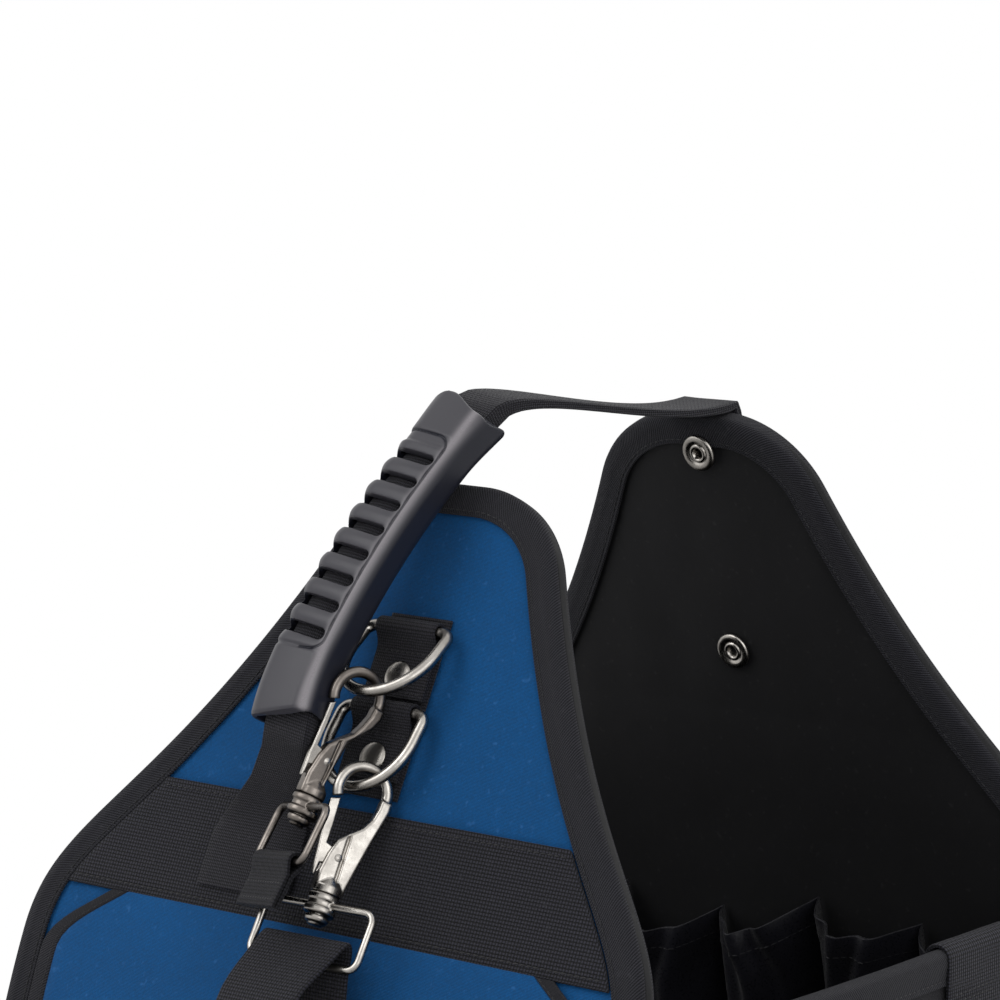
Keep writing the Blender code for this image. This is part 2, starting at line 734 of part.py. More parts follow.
def wall_binding(name, side):
    """Tape folded over the side wall's top edge."""
    inner, outer = 2 * GAP, 2 * GAP + BINDING_THICKNESS
    low, high = -WALL_THICKNESS, 0.0
    section = [(WALL_BINDING_COVER, high + outer), (-outer, high + outer), (-outer, low - outer),
               (WALL_BINDING_COVER, low - outer), (WALL_BINDING_COVER, low - inner), (-inner, low - inner),
               (-inner, high + inner), (WALL_BINDING_COVER, high + inner)]
    rings = []
    for j in range(WALL_COLUMNS):
        share = j / (WALL_COLUMNS - 1)
        ring = []
        for drop, off in section:
            spot = wall_point(side, share, WALL_HEIGHT - max(drop, 0.0), off)
            ends = inside_ends(WALL_HEIGHT + outer)
            spot.y = ends[0] + (ends[1] - ends[0]) * share
            spot.z = WALL_HEIGHT - drop
            ring.append(spot)
        rings.append(ring)
    add_part(name, loft(rings), "black_webbing", smooth=False)


def share_at(y, height=WALL_HEIGHT):
    low = wall_point(1, 0.0, height, 0.0).y
    high = wall_point(1, 1.0, height, 0.0).y
    return (y - low) / (high - low)


def side_webbing(name, side):
    """Wide webbing folded over the side wall's top, down its outside to the base and a little way inside."""
    middle = SIDE_WEBBING_PLACE
    edges = (middle - WEBBING_WIDTH / 2, middle + WEBBING_WIDTH / 2)
    clear = BINDING_THICKNESS + 3 * GAP
    outside = [(height, clear) for height in
               (SIDE_WEBBING_BOTTOM, BASE_HEIGHT + (WALL_HEIGHT - BASE_HEIGHT) / 3,
                BASE_HEIGHT + (WALL_HEIGHT - BASE_HEIGHT) * 2 / 3, WALL_HEIGHT - WALL_BINDING_COVER)]
    inside = [(WALL_HEIGHT - SIDE_WEBBING_INSIDE_DROP, -WALL_THICKNESS - clear)]
    thick = WEBBING_THICKNESS
    outer = [(h, off + thick) for h, off in outside] + [(WALL_HEIGHT + clear + thick, clear + thick)]
    outer += [(WALL_HEIGHT + clear + thick, -WALL_THICKNESS - clear - thick)]
    outer += [(h, off - thick) for h, off in inside]
    inner = outside + [(WALL_HEIGHT + clear, clear), (WALL_HEIGHT + clear, -WALL_THICKNESS - clear)] + inside
    rings = []
    for y in edges:
        ring = []
        for height, off in outer + inner[::-1]:
            capped = min(height, WALL_HEIGHT)
            spot = wall_point(side, share_at(y, capped), capped, off)
            spot.z = height
            ring.append(spot)
        rings.append(ring)
    add_part(name, loft(rings), "black_webbing", smooth=False)


def side_pocket(name, side):
    """An open pocket on a side wall: a sheet that bellies out from the wall and is sewn to it all
    round but its top."""
    shares = [share_at(SIDE_POCKET_MIDDLE + SIDE_POCKET_HALF_LENGTH * (2 * j / 10 - 1)) for j in range(11)]
    heights = [BASE_HEIGHT + GAP + (SIDE_POCKET_TOP - BASE_HEIGHT) * i / 5 for i in range(6)]

    def belly(j, i):
        return SIDE_POCKET_DEPTH * math.sin(math.pi * j / 10) ** 0.7 * math.sin(math.pi * (i / 5) / 2) ** 0.6

    front, back = [], []
    for i, height in enumerate(heights):
        front.append([wall_point(side, share, height, GAP + SIDE_POCKET_SHEET + belly(j, i))
                      for j, share in enumerate(shares)])
        back.append([wall_point(side, share, height, GAP + belly(j, i)) for j, share in enumerate(shares)])
    add_part(name, plate(front, back), "black_fabric")


def inner_pocket(name, end):
    """A pleated strip of tool pockets: it swells inwards between seams that lie on the end panel's lining."""
    span = 2 * INNER_POCKET_HALF_SPAN
    count = INNER_POCKET_COUNT * PLEAT_STEPS
    seat = FACE_OFFS[end][0] - 2 * GAP

    def swell(j):
        return INNER_POCKET_DEPTH * abs(math.sin(math.pi * j / PLEAT_STEPS)) ** 0.8

    heights = [INNER_POCKET_BOTTOM, (INNER_POCKET_BOTTOM + INNER_POCKET_TOP) / 2, INNER_POCKET_TOP]
    front, back = [], []
    for height in heights:
        front_row, back_row = [], []
        for j in range(count + 1):
            x = -INNER_POCKET_HALF_SPAN + span * j / count
            lift = INNER_POCKET_TOP_WAVE * math.cos(2 * math.pi * j / count * 1.5) if height == heights[-1] else 0.0
            depth = end.depth_at(height + lift)
            out = seat - swell(j)
            back_row.append(end.point(x, depth, out))
            front_row.append(end.point(x, depth, out - INNER_POCKET_SHEET))
        front.append(front_row)
        back.append(back_row)
    add_part(name, plate(front, back), "black_fabric")


def ring_outline():
    """The centre line of a D-ring in its own plane: the bar along X at Y = 0, the round side down."""
    half, corner = RING_HALF_WIDTH, RING_CORNER_RADIUS
    points = [(corner - half, 0.0), (0.0, 0.0), (half - corner, 0.0)]
    points += arc((half - corner, -corner), corner, 90, 0, 3)[1:]
    drop = RING_HEIGHT - RING_SHOULDER
    for i in range(13):
        angle = math.radians(-180 * i / 12)
        points.append((half * math.cos(angle), -RING_SHOULDER + drop * math.sin(angle)))
    points += arc((corner - half, -corner), corner, 180, 90, 3)[:-1]
    return points


def d_ring(name, end, depth, off, swing):
    """A wire ring whose origin is on its bar, so that it swings about local X."""
    mesh = wire([(x, y, 0) for x, y in ring_outline()], RING_WIRE_RADIUS, cyclic=True)
    frame = end.frame(0, depth, off) @ Matrix.Rotation(math.radians(-swing), 4, "X")
    return add_part(name, mesh, "nickel", frame)


def ring_tab(name, end, depth, seat, length, hole_drop):
    """Webbing folded round a ring's bar, its two layers lying on what is under them."""
    bore = RING_WIRE_RADIUS + GAP
    shell = bore + STRIP_THICKNESS
    off = seat + shell
    outer = arc((0.0, 0.0), shell, 90 + 60, -90, 9)
    doubled = 2 * STRIP_THICKNESS
    top = -shell + doubled
    outer += [(-length, -shell), (-length, top)]
    blend = math.sqrt(shell ** 2 - top ** 2)
    outer += [(-blend - shell, top), (-shell * 0.93, shell * 0.28)]
    hole = arc((0.0, 0.0), bore, 0, 330, 11)
    mesh = flat_shape([outer, hole], STRIP_WIDTH)
    to_frame = Matrix(((0, 0, 1, 0), (1, 0, 0, 0), (0, 1, 0, 0), (0, 0, 0, 1)))
    mesh = moved(mesh, to_frame)
    drill = cylinder(RIVET_SHANK_RADIUS + RIVET_HOLE_CLEARANCE, -shell - CUT_OVERRUN, CUT_OVERRUN, steps=12)
    drill = moved(drill, Matrix.Translation((0, -hole_drop, 0)))
    mesh = combined(mesh, [drill], "DIFFERENCE")
    add_part(name, mesh, "black_webbing", end.frame(0, depth, off), smooth=False)


def ring_strip():
    rows = [(-STRIP_WIDTH / 2, STRIP_WIDTH / 2, depth) for depth in (STRIP_TOP_DEPTH, STRIP_BOTTOM_DEPTH)]
    low = outer_off(FRONT) + GAP
    mesh = sheet_on(FRONT, rows, low, low + STRIP_THICKNESS)
    add_part("ring_strip", combined(mesh, rivet_holes(FRONT), "DIFFERENCE"), "black_webbing", smooth=False)


def rivet(name, end, depth, seat, inside):
    """A domed rivet with a hollow shank, headed on the outside and flanged on the inside."""
    foot = inside - RIVET_FLANGE_THICKNESS
    top = seat + GAP + RIVET_HEAD_HEIGHT
    profile = [(0.0, top)]
    for i in range(1, 5):
        angle = math.radians(90 * i / 4)
        profile.append((RIVET_HEAD_RADIUS * math.sin(angle),
                        seat + GAP + RIVET_HEAD_HEIGHT * (0.25 + 0.75 * math.cos(angle))))
    profile += [(RIVET_HEAD_RADIUS, seat + GAP), (RIVET_SHANK_RADIUS, seat + GAP), (RIVET_SHANK_RADIUS, inside),
                (RIVET_FLANGE_RADIUS, inside), (RIVET_FLANGE_RADIUS, inside - RIVET_FLANGE_THICKNESS / 2),
                (RIVET_FLANGE_RADIUS * 0.85, foot), (RIVET_SHANK_RADIUS, foot),
                (RIVET_BORE_RADIUS, inside), (RIVET_BORE_RADIUS, seat), (0.0, seat)]
    add_part(name, turned(profile), "nickel", end.frame(0, depth, 0.0))


class Grip:
    """The grip's centre arc, from its lower end to its upper end."""

    def __init__(self):
        top = FRONT.point(GRIP_UPPER_X, 0.0, 0.0)
        self.upper = top + Vector((0, GRIP_UPPER_FORWARD, GRIP_UPPER_RISE))
        self.lower = FRONT.point(GRIP_LOWER_X, GRIP_LOWER_DEPTH, GRIP_LOWER_OFF)
        chord = self.upper - self.lower
        self.length = chord.length
        along = chord.normalized()
        out = FRONT.outward(0.0)
        self.out = (out - along * out.dot(along)).normalized()
        self.across = along.cross(self.out)
        self.radius = (self.length / 2) ** 2 / (2 * GRIP_SAGITTA) + GRIP_SAGITTA / 2
        self.centre = (self.upper + self.lower) / 2 - self.out * (self.radius - GRIP_SAGITTA)
        self.half_angle = math.asin(self.length / 2 / self.radius)
        self.along = along
        self.arc_length = 2 * self.half_angle * self.radius

    def at(self, distance):
        """Place, direction, outward and across at a distance along the arc from its lower end."""
        angle = -self.half_angle + distance / self.radius
        outward = self.out * math.cos(angle) + self.along * math.sin(angle)
        along = self.along * math.cos(angle) - self.out * math.sin(angle)
        return self.centre + outward * self.radius, along, outward, self.across

    def matrix(self, distance):
        """Local X across, Y along and Z outwards."""
        place, along, outward, across = self.at(distance)
        return axes(across, along, outward, place)


GRIP = Grip()


def grip_distances():
    """Distances along the grip's arc, past both of its ends, at which its bore and the strap turn."""
    return [-CUT_OVERRUN + (GRIP.arc_length + 2 * CUT_OVERRUN) * i / BORE_STEPS for i in range(BORE_STEPS + 1)]


def grip():
    """A moulded sleeve along its arc, swollen at its ends, with a row of slots in its outer face."""
    inner_half = (GRIP_STRAP_WIDTH / 2 + GAP, GRIP_STRAP_THICKNESS / 2 + GAP)
    outer_rings, bore_rings = [], []
    for i in range(GRIP_STATIONS):
        distance = GRIP.arc_length * i / (GRIP_STATIONS - 1)
        edge = abs(2 * i / (GRIP_STATIONS - 1) - 1)
        swell = GRIP_END_SWELL * max(edge - 0.6, 0.0) / 0.4
        frame = GRIP.matrix(distance)
        section = rounded_rectangle(GRIP_WIDTH / 2 + swell, GRIP_DEPTH / 2 + swell, GRIP_CORNER)
        outer_rings.append([frame @ Vector((x, 0, z)) for x, z in section])
    for distance in grip_distances():
        section = rounded_rectangle(*inner_half, GAP, 1)
        bore_rings.append([GRIP.matrix(distance) @ Vector((x, 0, z)) for x, z in section])
    tools = [loft(bore_rings)]
    for i in range(SLOT_COUNT):
        distance = GRIP.arc_length - SLOT_FIRST - SLOT_PITCH * i
        half = SLOT_LENGTH / 2 - SLOT_WIDTH / 2
        outline = arc((half, 0.0), SLOT_WIDTH / 2, -90, 90, 4) + arc((-half, 0.0), SLOT_WIDTH / 2, 90, 270, 4)
        cutter = flat_shape([outline], GRIP_DEPTH / 2 + CUT_OVERRUN)
        lift = Matrix.Translation((0, 0, (GRIP_DEPTH / 2 + CUT_OVERRUN) / 2))
        tools.append(moved(cutter, GRIP.matrix(distance) @ lift))
    add_part("grip", combined(loft(outer_rings), tools, "DIFFERENCE"), "grip_plastic")


def handle_stations():
    """(place, across, outward, width, thickness) along the handle strap, from its rear end to its front end."""
    stations = []
    half = HANDLE_THICKNESS / 2
    seat = outer_off(REAR) + GAP + half
    over_binding = outer_off(REAR) + BINDING_THICKNESS + 2 * GAP + half
    across = Vector((1, 0, 0))
    for depth, off in ((HANDLE_REAR_END_DEPTH, seat), (UPPER_LENGTH / 3, seat),
                       (2 * BINDING_COVER, seat), (BINDING_COVER, over_binding), (0.0, over_binding)):
        stations.append((REAR.point(0, depth, off), across, REAR.outward(depth), HANDLE_WIDTH, HANDLE_THICKNESS))
    rise = BINDING_THICKNESS + 2 * GAP
    corner = REAR.point(0, 0, outer_off(REAR))
    slant = (REAR.outward(0) + REAR.up(0)).normalized()
    stations.append((corner + (REAR.outward(0) + REAR.up(0)) * rise + slant * half, across, slant,
                     HANDLE_WIDTH, HANDLE_THICKNESS))
    start = REAR.point(0, -rise - half, outer_off(REAR) - half)
    end_place, end_along, end_out, end_across = GRIP.at(GRIP.arc_length + CUT_OVERRUN)
    first_along = (REAR.up(0) * 0.35 - REAR.outward(0)).normalized()
    reach = (end_place - start).length / 3
    curve = [start, start + first_along * reach, end_place + end_along * reach, end_place]
    for i in range(9):
        t = i / 8
        weights = ((1 - t) ** 3, 3 * (1 - t) ** 2 * t, 3 * (1 - t) * t * t, t ** 3)
        place = sum((point * weight for point, weight in zip(curve, weights)), Vector())
        slope = sum((point * weight for point, weight in zip(
            curve, (-3 * (1 - t) ** 2, 3 * (1 - t) ** 2 - 6 * (1 - t) * t, 6 * (1 - t) * t - 3 * t * t, 3 * t * t))),
            Vector()).normalized()
        side = across.lerp(end_across * (1 if end_across.x > 0 else -1), t)
        side = (side - slope * side.dot(slope)).normalized()
        out = side.cross(-slope)
        if out.z < 0:
            out = -out
        width = HANDLE_WIDTH + (GRIP_STRAP_WIDTH - HANDLE_WIDTH) * t
        thick = HANDLE_THICKNESS + (GRIP_STRAP_THICKNESS - HANDLE_THICKNESS) * t
        stations.append((place, side, out, width, thick))
    flip = 1 if end_across.x > 0 else -1
    for distance in grip_distances()[-2::-1]:
        place, along, out, side = GRIP.at(distance)
        stations.append((place, side * flip, out, GRIP_STRAP_WIDTH, GRIP_STRAP_THICKNESS))
    side = stations[-1][1]
    for index, (x, depth, off, width, thick) in enumerate(HANDLE_FRONT_PLACES):
        here = side.lerp(across, min((index + 1) / 3, 1.0)).normalized()
        out = FRONT.outward(0)
        if index < 2:
            out = stations[-1][2].lerp(FRONT.outward(0), 0.5).normalized()
        out = (out - here * out.dot(here)).normalized()
        stations.append((FRONT.point(x, depth, off), here, out, width, thick))
    return stations


def handle_strap():
    """One webbing strap: riveted down the rear panel, over its top, through the grip and sewn to the
    front band, where its fold opens out."""
    rings = []
    for place, across, out, width, thick in handle_stations():
        rings.append([place + across * (sx * width / 2) + out * (so * thick / 2)
                      for sx, so in ((-1, -1), (1, -1), (1, 1), (-1, 1))])
    mesh = combined(loft(rings), rivet_holes(REAR), "DIFFERENCE")
    add_part("handle_strap", mesh, "black_webbing", smooth=False)


def hook_body(name, matrix):
    ring = arc((0.0, 0.0), HOOK_RING_RADIUS, -6, HOOK_NOSE_ANGLE, 15)
    tube = wire([(HOOK_RING_RADIUS, -HOOK_MOUTH_BOTTOM / 3, 0), *[(x, y, 0) for x, y in ring]], HOOK_WIRE_RADIUS)
    wedge = flat_shape([HOOK_WEDGE], HOOK_THICKNESS)
    low = -HOOK_BODY_LENGTH - SWIVEL_BOSS_HEIGHT - 2 * GAP
    stud = cylinder(SWIVEL_STUD_RADIUS, low - GAP, -HOOK_BODY_LENGTH + HOOK_BODY_HALF_BOTTOM, "Y", 16)
    neck = cylinder(HOOK_BODY_HALF_BOTTOM * 0.98, -HOOK_BODY_LENGTH, -HOOK_BODY_LENGTH + HOOK_BODY_HALF_BOTTOM * 0.5,
                    "Y", 16)
    head = turned([(0.0, low), (SWIVEL_HEAD_RADIUS, low), (SWIVEL_HEAD_RADIUS, low - SWIVEL_HEAD_HEIGHT / 2),
                   (SWIVEL_HEAD_RADIUS * 0.7, low - SWIVEL_HEAD_HEIGHT), (0.0, low - SWIVEL_HEAD_HEIGHT)], 16)
    head = moved(head, Matrix.Rotation(math.radians(-90), 4, "X"))
    body = combined(tube, [wedge, neck, stud, head], "UNION")
    pin_hole = cylinder(GATE_PIN_RADIUS + GAP / 2, -HOOK_THICKNESS, HOOK_THICKNESS, steps=12)
    pin_hole = moved(pin_hole, Matrix.Translation((*GATE_PIVOT, 0)))
    slot = box((-2 * HOOK_RING_RADIUS, GATE_PIVOT[1] - GATE_EAR_RADIUS * 2.2, -GATE_SLOT_WIDTH / 2),
               (GATE_PIVOT[0] + GATE_EAR_RADIUS + 2 * GAP, GATE_PIVOT[1] + GATE_EAR_RADIUS * 1.7,
                GATE_SLOT_WIDTH / 2))
    body = combined(body, [pin_hole, slot], "DIFFERENCE")
    return add_part(name, body, "nickel", matrix)


def gate(name, matrix):
    """The spring lever that closes the hook's mouth: a bar down the left side and an ear round the pin.
    Its origin is on the pin."""
    pivot_x, pivot_y = GATE_PIVOT
    outline = [(x - pivot_x, y - pivot_y) for x, y in GATE_BAR]
    outline += arc((0.0, 0.0), GATE_EAR_RADIUS, -90, 90, 6)
    mesh = flat_shape([outline], GATE_THICKNESS)
    hole = cylinder(GATE_PIN_RADIUS + GAP / 2, -HOOK_THICKNESS, HOOK_THICKNESS, steps=12)
    mesh = combined(mesh, [hole], "DIFFERENCE")
    return add_part(name, mesh, "nickel", matrix @ Matrix.Translation((*GATE_PIVOT, 0)))


def gate_pin(name, matrix):
    mesh = cylinder(GATE_PIN_RADIUS, -HOOK_THICKNESS / 2 - GAP, HOOK_THICKNESS / 2 + GAP, steps=12)
    return add_part(name, mesh, "nickel", matrix @ Matrix.Translation((*GATE_PIVOT, 0)))


def swivel_loop(name, matrix, turn):
    """The rectangular loop, whose boss turns on the hook's stud. Its origin is in the boss."""
    outline = rounded_rectangle(LOOP_HALF_WIDTH, LOOP_HEIGHT / 2, LOOP_CORNER, 3)
    ring = wire([(x, y - LOOP_HEIGHT / 2, 0) for x, y in outline], LOOP_WIRE_RADIUS, cyclic=True)
    boss = cylinder(SWIVEL_BOSS_RADIUS, -SWIVEL_BOSS_HEIGHT / 2, SWIVEL_BOSS_HEIGHT / 2, "Y", 18)
    bore = cylinder(SWIVEL_STUD_RADIUS + GAP, -SWIVEL_BOSS_HEIGHT, SWIVEL_BOSS_HEIGHT, "Y", 14)
    mesh = combined(combined(ring, [boss], "UNION"), [bore], "DIFFERENCE")
    drop = HOOK_BODY_LENGTH + GAP + SWIVEL_BOSS_HEIGHT / 2
    place = matrix @ Matrix.Translation((0, -drop, 0)) @ Matrix.Rotation(math.radians(turn), 4, "Y")
    return add_part(name, mesh, "nickel", place), place


def hook_matrix(ring_frame, x, roll, yaw, pitch):
    """The hook's own axes: its eye hangs on the ring's round side at this x."""
    reach = RING_HEIGHT - RING_SHOULDER
    share = x / RING_HALF_WIDTH
    hang = -RING_SHOULDER - reach * math.sqrt(1 - share * share)
    wire_place = ring_frame @ Vector((x, hang, 0))
    base = FRONT.frame(0, LOWER_RING_DEPTH, 0.0).to_3x3().to_4x4()
    turn = (Matrix.Rotation(math.radians(roll), 4, "Z") @ Matrix.Rotation(math.radians(-pitch), 4, "X")
            @ Matrix.Rotation(math.radians(yaw), 4, "Y"))
    matrix = base @ turn
    seat = HOOK_RING_RADIUS - HOOK_WIRE_RADIUS - RING_WIRE_RADIUS - HOOK_SLACK
    matrix.translation = wire_place
    return matrix @ Matrix.Translation((0, -seat, 0)), wire_place


def hook_set(prefix, ring_frame, x, roll, yaw, pitch, turn):
    matrix, pivot = hook_matrix(ring_frame, x, roll, yaw, pitch)
    hook_body(f"{prefix}_hook", matrix)
    gate(f"{prefix}_gate", matrix)
    gate_pin(f"{prefix}_gate_pin", matrix)
    _, place = swivel_loop(f"{prefix}_loop", matrix, turn)
    report = [round(v, 5) for v in pivot]
    print(prefix, "hook pivot", report, "axis down", [round(-v, 5) for v in matrix.col[1][:3]],
          "gate pin", [round(v, 5) for v in (matrix @ Vector((*GATE_PIVOT, 0)))],
          "gate axis", [round(v, 5) for v in matrix.col[2][:3]], "loop", [round(v, 5) for v in place.translation])
    return place


def ribbon(points, thickness):
    """The closed outline of a band of this thickness along an open path in a plane."""
    left, right = [], []
    for i, point in enumerate(points):
        before = Vector(points[max(i - 1, 0)])
        after = Vector(points[min(i + 1, len(points) - 1)])
        here = Vector(point)
        first = (here - before).normalized() if i else (after - here).normalized()
        second = (after - here).normalized() if i < len(points) - 1 else first
        along = (first + second).normalized()
        spread = thickness / 2 / max(along.dot(second), 0.5)
        normal = Vector((-along.y, along.x))
        left.append(tuple(here + normal * spread))
        right.append(tuple(here - normal * spread))
    return left + right[::-1]


def strap_path(bar_depth, bar_off):
    """(depth, off) along the strap's middle: up behind the loop's bar, over it and down to the front
    of the hank, then to and fro towards the panel."""
    radius = LOOP_WIRE_RADIUS + 2 * GAP + WEBBING_THICKNESS / 2
    corners = [(STRAP_BACK_DEPTH, STRAP_BACK_OFF), (HANK_TOP_DEPTH, STRAP_BACK_OFF)]
    corners += [(bar_depth - radius * math.sin(math.radians(a)), bar_off - radius * math.cos(math.radians(a)))
                for a in range(0, 181, 30)]
    off = HANK_INNER_OFF + HANK_PITCH * (HANK_RUNS - 1)
    turn = HANK_PITCH / 2
    corners.append((HANK_TOP_DEPTH, off))
    for run in range(HANK_RUNS):
        level, sign = (HANK_BOTTOM_DEPTH, 1) if run % 2 == 0 else (HANK_TOP_DEPTH + 2 * turn, -1)
        if run == HANK_RUNS - 1:
            corners.append((level, off))
            break
        for a in range(0, 181, 45):
            angle = math.radians(a)
            corners.append((level + sign * turn * math.sin(angle), off - turn + turn * math.cos(angle)))
        off -= HANK_PITCH
    path = [corners[0]]
    for before, after in zip(corners, corners[1:]):
        count = max(round(abs(after[0] - before[0]) / STRAP_STEP), 1)
        path += [tuple(a + (b - a) * i / count for a, b in zip(before, after)) for i in range(1, count + 1)]
    return path


def shoulder_strap(place):
    """The shoulder strap: over the lower loop's bottom bar, then folded to and fro in a hank."""
    middle = place @ Vector((0, -LOOP_HEIGHT, 0))
    along = (place.to_3x3() @ Vector((1, 0, 0))).normalized()
    along = along * (1 if along.x > 0 else -1)
    rings = []
    for shift in (-LOOP_STRAP_WIDTH / 2, 0.0, LOOP_STRAP_WIDTH / 2):
        spot = middle + along * (shift / along.x)
        depth, off = FRONT.locate(spot)
        line = []
        for path_depth, path_off in strap_path(depth, off):
            point = FRONT.point(0, path_depth, path_off)
            line.append((point.y, point.z))
        rings.append([Vector((spot.x, y, z)) for y, z in ribbon(line, WEBBING_THICKNESS)])
    add_part("shoulder_strap", loft(rings), "black_webbing", smooth=False)
    return middle.x


def keeper(x):
    """An elastic band round the hank and the strap behind it."""
    low = STRAP_BACK_OFF - WEBBING_THICKNESS / 2 - KEEPER_ROOM
    high = HANK_INNER_OFF + HANK_PITCH * (HANK_RUNS - 1) + WEBBING_THICKNESS / 2 + KEEPER_ROOM
    half_x, half_off = LOOP_STRAP_WIDTH / 2 + KEEPER_ROOM, (high - low) / 2
    outer = rounded_rectangle(half_x + WEBBING_THICKNESS, half_off + WEBBING_THICKNESS, 2 * WEBBING_THICKNESS)
    inner = rounded_rectangle(half_x, half_off, WEBBING_THICKNESS)
    mesh = flat_shape([outer, inner], KEEPER_WIDTH)
    frame = FRONT.frame(x, KEEPER_DEPTH, (high + low) / 2) @ Matrix.Rotation(math.radians(-90), 4, "X")
    add_part("strap_keeper", mesh, "black_webbing", frame, smooth=False)


def end_tab(place):
    """The strap's other end: webbing folded round the upper loop's bottom bar and sewn to itself."""
    bore = LOOP_WIRE_RADIUS + GAP
    shell = bore + WEBBING_THICKNESS
    outer = arc((0.0, 0.0), shell, 180, 0, 8)
    thick = WEBBING_THICKNESS + GAP / 2
    outer += [(thick, -shell * 1.6), (thick, -END_TAB_LENGTH), (-thick, -END_TAB_LENGTH), (-thick, -shell * 1.6)]
    hole = arc((0.0, 0.0), bore, 0, 330, 11)
    mesh = flat_shape([outer, hole], LOOP_STRAP_WIDTH)
    turn = Matrix(((0, 0, 1, 0), (0, 1, 0, 0), (-1, 0, 0, 0), (0, 0, 0, 1)))
    frame = place @ Matrix.Translation((0, -LOOP_HEIGHT, 0)) @ turn
    add_part("strap_end_tab", moved(mesh, Matrix()), "black_webbing", frame, smooth=False)


def build():
    moulded_base()
    floor_board()
    end_panel("front_end_panel", FRONT, "blue_fabric")
    end_panel("rear_end_panel", REAR, "blue_fabric")
    panel_binding("front_panel_binding", FRONT)
    panel_binding("rear_panel_binding", REAR)
    band("front_band", FRONT)
    band("rear_band", REAR)
    for word, end in (("front", FRONT), ("rear", REAR)):
        patch_pocket(f"{word}_patch_pocket", end, "blue_fabric")
        pocket_binding(f"{word}_pocket_binding_left", end, -1)
        pocket_binding(f"{word}_pocket_binding_right", end, 1)
        inner_pocket(f"{word}_inner_pockets", end)
    for word, side in (("left", -1), ("right", 1)):
        side_wall(f"{word}_side_wall", side)
        wall_binding(f"{word}_wall_binding", side)
        side_webbing(f"{word}_side_webbing", side)
        side_pocket(f"{word}_side_pocket", side)
    ring_strip()
    tab_seat = outer_off(FRONT) + 2 * GAP + STRIP_THICKNESS
    for word, depth, swing in (("upper", UPPER_RING_DEPTH, UPPER_RING_SWING),
                               ("lower", LOWER_RING_DEPTH, LOWER_RING_SWING)):
        ring_tab(f"{word}_ring_tab", FRONT, depth, tab_seat, TAB_LENGTH, RIVET_BELOW_RING)
        off = tab_seat + STRIP_THICKNESS + GAP + RING_WIRE_RADIUS
        d_ring(f"{word}_d_ring", FRONT, depth, off, swing)
        rivet(f"{word}_tab_rivet", FRONT, depth + RIVET_BELOW_RING, tab_seat + 2 * STRIP_THICKNESS,
              FACE_OFFS[FRONT][0] - GAP)
        frame = FRONT.frame(0, depth, off) @ Matrix.Rotation(math.radians(-swing), 4, "X")
        print(word, "ring", [round(v, 5) for v in frame.translation])
        if word == "upper":
            place = hook_set("upper", frame, UPPER_HOOK_X, UPPER_HOOK_ROLL, UPPER_HOOK_YAW, UPPER_HOOK_PITCH,
                             UPPER_LOOP_TURN)
            end_tab(place)
        else:
            place = hook_set("lower", frame, LOWER_HOOK_X, LOWER_HOOK_ROLL, LOWER_HOOK_YAW, LOWER_HOOK_PITCH,
                             LOWER_LOOP_TURN)
            keeper(shoulder_strap(place))
    for word, depth in zip(("upper", "lower"), HANDLE_REAR_RIVET_DEPTHS):
        lift = GAP if depth > 2 * BINDING_COVER else BINDING_THICKNESS + 2 * GAP
        rivet(f"handle_{word}_rivet", REAR, depth, outer_off(REAR) + lift + HANDLE_THICKNESS,
              FACE_OFFS[REAR][0] - lift)
    handle_strap()
    grip()


build()
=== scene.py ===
"""The looks of the open-top tool bag: cloth, webbing, bindings, moulded grip and nickel hardware.

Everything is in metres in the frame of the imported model. Depth runs down the face of a leaning end
panel from its top edge, and off is outwards from the panel's reference face. Cloth coordinates, which
carry the weaves, are kept in millimetres in each mesh's UV map.
"""

from __future__ import annotations

import json
import logging
import math
from dataclasses import dataclass, field
from enum import Enum
from functools import lru_cache
from typing import Callable, Iterable, Sequence

import bmesh
import bpy
from mathutils import Matrix, Vector, kdtree, noise

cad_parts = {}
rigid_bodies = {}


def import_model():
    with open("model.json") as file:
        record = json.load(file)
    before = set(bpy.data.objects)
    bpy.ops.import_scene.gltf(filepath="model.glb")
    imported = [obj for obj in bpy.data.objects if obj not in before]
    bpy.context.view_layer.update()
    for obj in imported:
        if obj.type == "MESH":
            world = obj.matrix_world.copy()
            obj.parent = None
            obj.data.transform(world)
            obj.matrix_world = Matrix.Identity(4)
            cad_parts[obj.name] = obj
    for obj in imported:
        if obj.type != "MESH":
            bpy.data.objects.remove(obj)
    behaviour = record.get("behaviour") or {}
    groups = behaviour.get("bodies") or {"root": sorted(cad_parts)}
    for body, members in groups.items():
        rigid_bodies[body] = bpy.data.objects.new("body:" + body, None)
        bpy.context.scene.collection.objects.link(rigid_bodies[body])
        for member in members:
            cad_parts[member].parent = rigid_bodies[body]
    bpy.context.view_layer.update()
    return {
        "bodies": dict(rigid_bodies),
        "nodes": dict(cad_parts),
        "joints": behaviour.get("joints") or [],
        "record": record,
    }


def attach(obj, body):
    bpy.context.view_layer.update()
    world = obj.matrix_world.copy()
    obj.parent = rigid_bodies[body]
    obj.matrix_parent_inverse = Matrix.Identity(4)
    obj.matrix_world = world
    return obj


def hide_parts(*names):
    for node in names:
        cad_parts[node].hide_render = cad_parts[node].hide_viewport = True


LOG = logging.getLogger("tool_bag")

MM = 0.001
GAP = 0.3 * MM
Grid = list[list[Vector]]
Cloth = list[list[tuple[float, float]]]
Colour = tuple[float, float, float]


# Meshes


